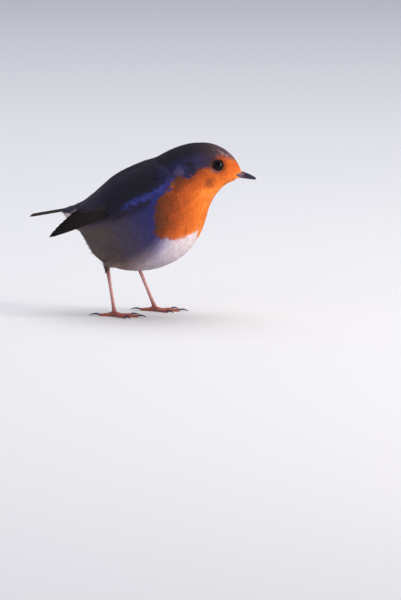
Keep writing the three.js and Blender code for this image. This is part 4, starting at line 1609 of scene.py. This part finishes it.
for centre, (word, side) in zip(EYE_PLACES, SIDES):
    axis = Vector(eye_axis(side))
    turned = axis.to_track_quat("Z", "Y").to_euler()
    bpy.ops.mesh.primitive_uv_sphere_add(
        segments=40, ring_count=28, radius=EYE_RADIUS * MM, location=centre * MM, rotation=turned
    )
    ball = bpy.context.object
    ball.name = f"eyeball_{word}"
    bpy.ops.object.transform_apply(location=True, rotation=True, scale=True)
    ball.data.shade_smooth()
    ball.data.materials.append(EYE)
    ball.data.materials.append(PUPIL_BLACK)
    pupil_cos = math.cos(math.asin(EYE_OPENING / EYE_RADIUS * PUPIL))
    for face in ball.data.polygons:
        out = (face.center / MM - Vector(centre)).normalized()
        face.material_index = int(out.dot(axis) > pupil_cos)
    window = math.sqrt(EYE_RADIUS**2 - EYE_OPENING**2)
    ring_place = Vector(centre) + axis * (window + 0.05)
    bpy.ops.mesh.primitive_torus_add(
        major_radius=(EYE_OPENING + 0.06) * MM,
        minor_radius=0.2 * MM,
        major_segments=56,
        minor_segments=10,
        location=ring_place * MM,
        rotation=turned,
    )
    lid = bpy.context.object
    lid.name = f"eyelid_{word}"
    bpy.ops.object.transform_apply(location=True, rotation=True, scale=True)
    lid.data.shade_smooth()
    lid.data.materials.append(LID)
    for piece in (ball, lid):
        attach(piece, "root")
    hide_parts(f"eye_{word}")

# %% [markdown]
# ## Legs and feet
#
# The shank and toes are thin, bare and covered with scales: broad plates down the front of the
# shank and on top of the toes, and small pads below. Each leg's solids are joined and remeshed so
# that the skin runs through the joints, and the plates are raised by moving the corners out in
# steps along the limb.

# %% Scaled legs
LEG_SOLIDS = ["tarsus", "foot", "toe_{}_middle", "toe_{}_inner", "toe_{}_outer", "toe_{}_hallux"]
FEET = {1: (4.2, 12.0, 0.0), -1: (-12.0, -12.0, 0.0)}  # mm, by side
PLATE_SHANK, PLATE_TOE = 2.5, 1.15  # mm between plates
LEG_SWELL = 0.12  # mm, so that the cut joints touch
TOE_TAPER = 0.12  # mm that a toe narrows towards its claw
CLAW_ROOTING = (1.42, 1.42, 1.0)  # how many times longer a claw gets, over the floor and upwards
CLAW_SWELL = 0.16  # mm at the thick end
CLAW_SINK = 0.3  # mm that the thick end is lowered into the toe

LEG_SKIN = new_material("leg_scales", 0.5)


def scale_legs(side, claw_roots):
    foot = np.array(FEET[side])

    def change(points, normals):
        height = points[:, 2]
        reach = np.hypot(points[:, 0] - foot[0], points[:, 1] - foot[1])
        on_shank = smoothstep(height, 3.0, 5.0)
        shank = (height / PLATE_SHANK) % 1
        toe = (reach / PLATE_TOE) % 1
        front = smoothstep(normals[:, 0], 0.0, 0.5)
        above = smoothstep(normals[:, 2], 0.1, 0.5) * smoothstep(reach, 2.0, 3.0)
        step = on_shank * front * 0.16 * (shank - 0.5)
        step += (1 - on_shank) * above * 0.16 * (0.5 - toe)
        joints = np.cos(reach / 4.1 * 2 * math.pi) * (1 - on_shank) * smoothstep(reach, 3, 5)
        step += 0.1 * joints
        to_claw = np.linalg.norm(points[:, None] - claw_roots, axis=2).min(axis=1)
        step -= TOE_TAPER * (1 - smoothstep(to_claw, 0.5, 2.8))
        moved = points + normals * step[:, None]
        moved[:, 2] = np.maximum(moved[:, 2], 0)
        return moved

    return change


def claw_root(claw, side):
    """The middle of a claw's thick end."""
    points, _, _ = corners_of(claw)
    reach = np.linalg.norm(points - FEET[side], axis=1)
    return points[reach < reach.min() + 0.8].mean(axis=0)


def root_claw(side):
    """Draws a claw's thick end back into its toe, keeping its point where it is."""

    def change(points, normals):
        tip = points[np.argmax(np.linalg.norm(points - FEET[side], axis=1))]
        from_tip = np.linalg.norm(points - tip, axis=1)
        swell = CLAW_SWELL * smoothstep(from_tip, 0.2, 3.0) * (1 - smoothstep(from_tip, 3.4, 4.2))
        moved = tip + (points - tip) * CLAW_ROOTING + normals * swell[:, None]
        moved[:, 2] -= CLAW_SINK * smoothstep(from_tip, 2.0, 4.0)
        return moved

    return change


for word, side in SIDES:
    solids = [name.format(word) if "{}" in name else f"{name}_{word}" for name in LEG_SOLIDS]
    copies = [copy_of_node(name) for name in solids]
    for copy in copies:
        apply_modifier(copy, "DISPLACE", strength=LEG_SWELL * MM, mid_level=0)
    leg = join(f"leg_{word}", copies)
    remesh(leg, 0.24)
    apply_modifier(leg, "SMOOTH", factor=0.5, iterations=6)
    toes = ("middle", "inner", "outer", "hallux")
    claws = [copy_of_node(f"claw_{word}_{toe}") for toe in toes]
    claw_roots = np.array([claw_root(claw, side) for claw in claws])
    move_corners(leg, scale_legs(side, claw_roots))
    leg.data.shade_smooth()
    leg.data.materials.append(LEG_SKIN)
    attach(leg, "root")
    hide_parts(*solids)
    for claw in claws:
        apply_modifier(claw, "SUBSURF", levels=2, render_levels=2)
        move_corners(claw, root_claw(side))
    claws = join(f"claws_{word}", claws)
    claws.data.shade_smooth()
    claws.data.materials.append(HORN)
    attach(claws, "root")
    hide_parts(*(f"claw_{word}_{toe}" for toe in toes))
    print(leg.name, len(leg.data.polygons), "faces")

# %% [markdown]
# ## Finishes of the bare parts and the long feathers
#
# Long feathers are dark brown with a thin buff edge on the outer web and fine slanting barbs. Horn
# is dark and glossy and warmer at the bill's base. The scaled skin is pinkish brown, darker between
# the plates.

# %% Long feathers
FLIGHT_BROWN = srgb(13, 10, 13)
FLIGHT_WARM = srgb(24, 18, 22)
EDGE_BUFF = srgb(140, 120, 108)


def finish_flight():
    tree, shader = wires(FLIGHT)
    along, across, tint = split(tree, named_vector(tree, "vane"))
    outer = rescale(tree, across, 0.5, 0.56)
    colour = blend(tree, outer, FLIGHT_BROWN, FLIGHT_WARM)
    edge = product(tree, rescale(tree, across, 0.94, 0.985), rescale(tree, along, 0.2, 0.6), 0.5)
    colour = blend(tree, edge, colour, EDGE_BUFF)
    off_shaft = sum_node(tree, "ABSOLUTE", minus(tree, across, 0.515))
    shaft = rescale(tree, off_shaft, 0.03, 0.01)
    colour = blend(tree, shaft, colour, srgb(30, 24, 22))
    slant = times_plus(tree, along, 70.0, sum_node(tree, "MULTIPLY", off_shaft, -26.0))
    barbs = sum_node(tree, "FRACT", slant)
    barbs = sum_node(tree, "ABSOLUTE", minus(tree, barbs, 0.5))
    light = times_plus(tree, barbs, 0.3, 0.85)
    light = times_plus(tree, minus(tree, tint, 0.5), 0.2, light)
    tree.links.new(shaded(tree, colour, light), shader.inputs["Base Color"])
    tree.links.new(bump(tree, barbs, 0.35, 0.06 * MM), shader.inputs["Normal"])


finish_flight()


# %% Horn, eyes and leg scales
def object_place(tree):
    return tree.nodes.new("ShaderNodeTexCoord").outputs["Object"]


def finish_horn():
    tree, shader = wires(HORN)
    away = tree.nodes.new("ShaderNodeVectorMath")
    away.operation = "DISTANCE"
    tree.links.new(object_place(tree), away.inputs[0])
    away.inputs[1].default_value = (BILL_BASE - BILL_AXIS) * MM
    base = rescale(tree, away.outputs["Value"], 1.5 * MM, 5.0 * MM)
    colour = blend(tree, base, srgb(112, 78, 92), srgb(40, 32, 56))
    tree.links.new(colour, shader.inputs["Base Color"])
    fine = noise(tree, object_place(tree), 1500, 2)
    tree.links.new(bump(tree, fine, 0.1, 0.1 * MM), shader.inputs["Normal"])


LEG_COLOURS = [
    (0, srgb(172, 94, 72)), (3 * MM, srgb(146, 78, 72)), (8 * MM, srgb(182, 126, 126)),
    (16 * MM, srgb(190, 136, 136)), (22 * MM, srgb(150, 94, 92)), (27 * MM, srgb(92, 52, 50)),
]


def finish_legs():
    tree, shader = wires(LEG_SKIN)
    _, _, height = split(tree, object_place(tree))
    colour = colour_ramp(tree, height, LEG_COLOURS)
    cells = tree.nodes.new("ShaderNodeTexVoronoi")
    cells.feature = "DISTANCE_TO_EDGE"
    cells.inputs["Scale"].default_value = 1900
    tree.links.new(object_place(tree), cells.inputs["Vector"])
    crease = rescale(tree, cells.outputs["Distance"], 0.0, 0.12, 0.72, 1.0)
    tree.links.new(shaded(tree, colour, crease), shader.inputs["Base Color"])
    tree.links.new(bump(tree, crease, 0.3, 0.08 * MM), shader.inputs["Normal"])


def mottle_group():
    group, given, result = new_group(
        "mottle",
        [
            ("Place", "NodeSocketVector"), ("Fineness", "NodeSocketFloat"),
            ("Dark", "NodeSocketColor"), ("Pale", "NodeSocketColor"),
        ],
        [("Color", "NodeSocketColor"), ("Height", "NodeSocketFloat")],
    )
    height = noise(group, given.outputs["Place"], given.outputs["Fineness"], 3.0)
    share = rescale(group, height, 0.35, 0.65)
    colour = blend(group, share, given.outputs["Dark"], given.outputs["Pale"])
    group.links.new(colour, result.inputs["Color"])
    group.links.new(height, result.inputs["Height"])
    return group


MOTTLE = mottle_group()


def finish_mottled(material, dark, pale, fineness, relief=0.0):
    """Fine mottling between two shades, with wrinkles where there is relief."""
    tree, shader = wires(material)
    place = object_place(tree)
    mottle = use_group(tree, MOTTLE, Place=place, Fineness=fineness, Dark=dark, Pale=pale)
    tree.links.new(mottle.outputs["Color"], shader.inputs["Base Color"])
    if relief:
        height = mottle.outputs["Height"]
        tree.links.new(bump(tree, height, relief, 0.1 * MM), shader.inputs["Normal"])


finish_horn()
finish_legs()
finish_mottled(EYE, srgb(11, 9, 15), srgb(27, 20, 24), 1400)
finish_mottled(PUPIL_BLACK, srgb(0, 0, 0), srgb(4, 3, 5), 600)
finish_mottled(LID, srgb(22, 17, 21), srgb(44, 35, 38), 2600, 0.4)

# %% [markdown]
# ## Floor, light and camera
#
# A plain pale floor and soft lamps show the bird as in a studio. The key light is warm and comes
# from the side that the bird faces, and a weak cool light fills its back.

# %% Stage
CAMERA_AZIMUTH = math.radians(13)
CAMERA_HEIGHT = math.radians(8)
LENS = 400  # mm, long, so that the sides stay nearly parallel
CAMERA_DISTANCE = 3.533  # m
AIM = (31.1, 7.4)  # mm right of and above the origin, as the camera sees it

PAPER = (0.86, 0.85, 0.83, 1)

bpy.ops.mesh.primitive_plane_add(size=8)
floor = bpy.context.object
floor.name = "floor"
floor_finish = new_material("floor_paper", 0.95)
wires(floor_finish)[1].inputs["Base Color"].default_value = PAPER
floor.data.materials.append(floor_finish)

world = bpy.data.worlds.new("studio")
world.use_nodes = True
tree = world.node_tree
ambient = tree.nodes["Background"]
ambient.inputs[0].default_value = (0.62, 0.68, 0.95, 1)
ambient.inputs[1].default_value = 0.32
backdrop = tree.nodes.new("ShaderNodeBackground")
backdrop.inputs[0].default_value = (0.74, 0.74, 0.74, 1)
seen = tree.nodes.new("ShaderNodeLightPath")
mix = tree.nodes.new("ShaderNodeMixShader")
tree.links.new(seen.outputs["Is Camera Ray"], mix.inputs[0])
tree.links.new(ambient.outputs[0], mix.inputs[1])
tree.links.new(backdrop.outputs[0], mix.inputs[2])
tree.links.new(mix.outputs[0], tree.nodes["World Output"].inputs[0])
bpy.context.scene.world = world
bpy.context.scene.view_settings.view_transform = "Standard"


def soft_lamp(name, place, size, power, colour):
    data = bpy.data.lights.new(name, "AREA")
    data.size = size
    data.energy = power
    data.color = colour
    lamp = bpy.data.objects.new(name, data)
    lamp.location = place
    lamp.rotation_euler = (Vector((0, 0, 0.05)) - Vector(place)).to_track_quat("-Z", "Y").to_euler()
    bpy.context.scene.collection.objects.link(lamp)


soft_lamp("key", (1.5, -0.3, 0.2), 0.75, 35, (1.0, 0.88, 0.74))
soft_lamp("glint", (0.95, 0.0, 0.8), 0.1, 2.2, (1.0, 0.97, 0.92))
soft_lamp("fill", (-0.7, -1.5, 0.7), 1.2, 3.0, (0.7, 0.76, 1.0))
soft_lamp("overhead", (-0.2, 0.5, 1.8), 2.0, 26, (0.95, 0.97, 1.0))
soft_lamp("rear", (-1.1, -0.7, 0.12), 0.9, 3.2, (1.0, 0.94, 0.9))

right = Vector((math.cos(CAMERA_AZIMUTH), math.sin(CAMERA_AZIMUTH), 0))
back = Vector((math.sin(CAMERA_AZIMUTH), -math.cos(CAMERA_AZIMUTH), 0)) * math.cos(CAMERA_HEIGHT)
back += Vector((0, 0, math.sin(CAMERA_HEIGHT)))
up = back.cross(right)
camera_data = bpy.data.cameras.new("camera")
camera_data.lens = LENS
camera = bpy.data.objects.new("camera", camera_data)
camera.location = (right * AIM[0] + up * AIM[1]) * MM + back * CAMERA_DISTANCE
camera.rotation_euler = Matrix((right, up, back)).transposed().to_euler()
bpy.context.scene.collection.objects.link(camera)
bpy.context.scene.camera = camera
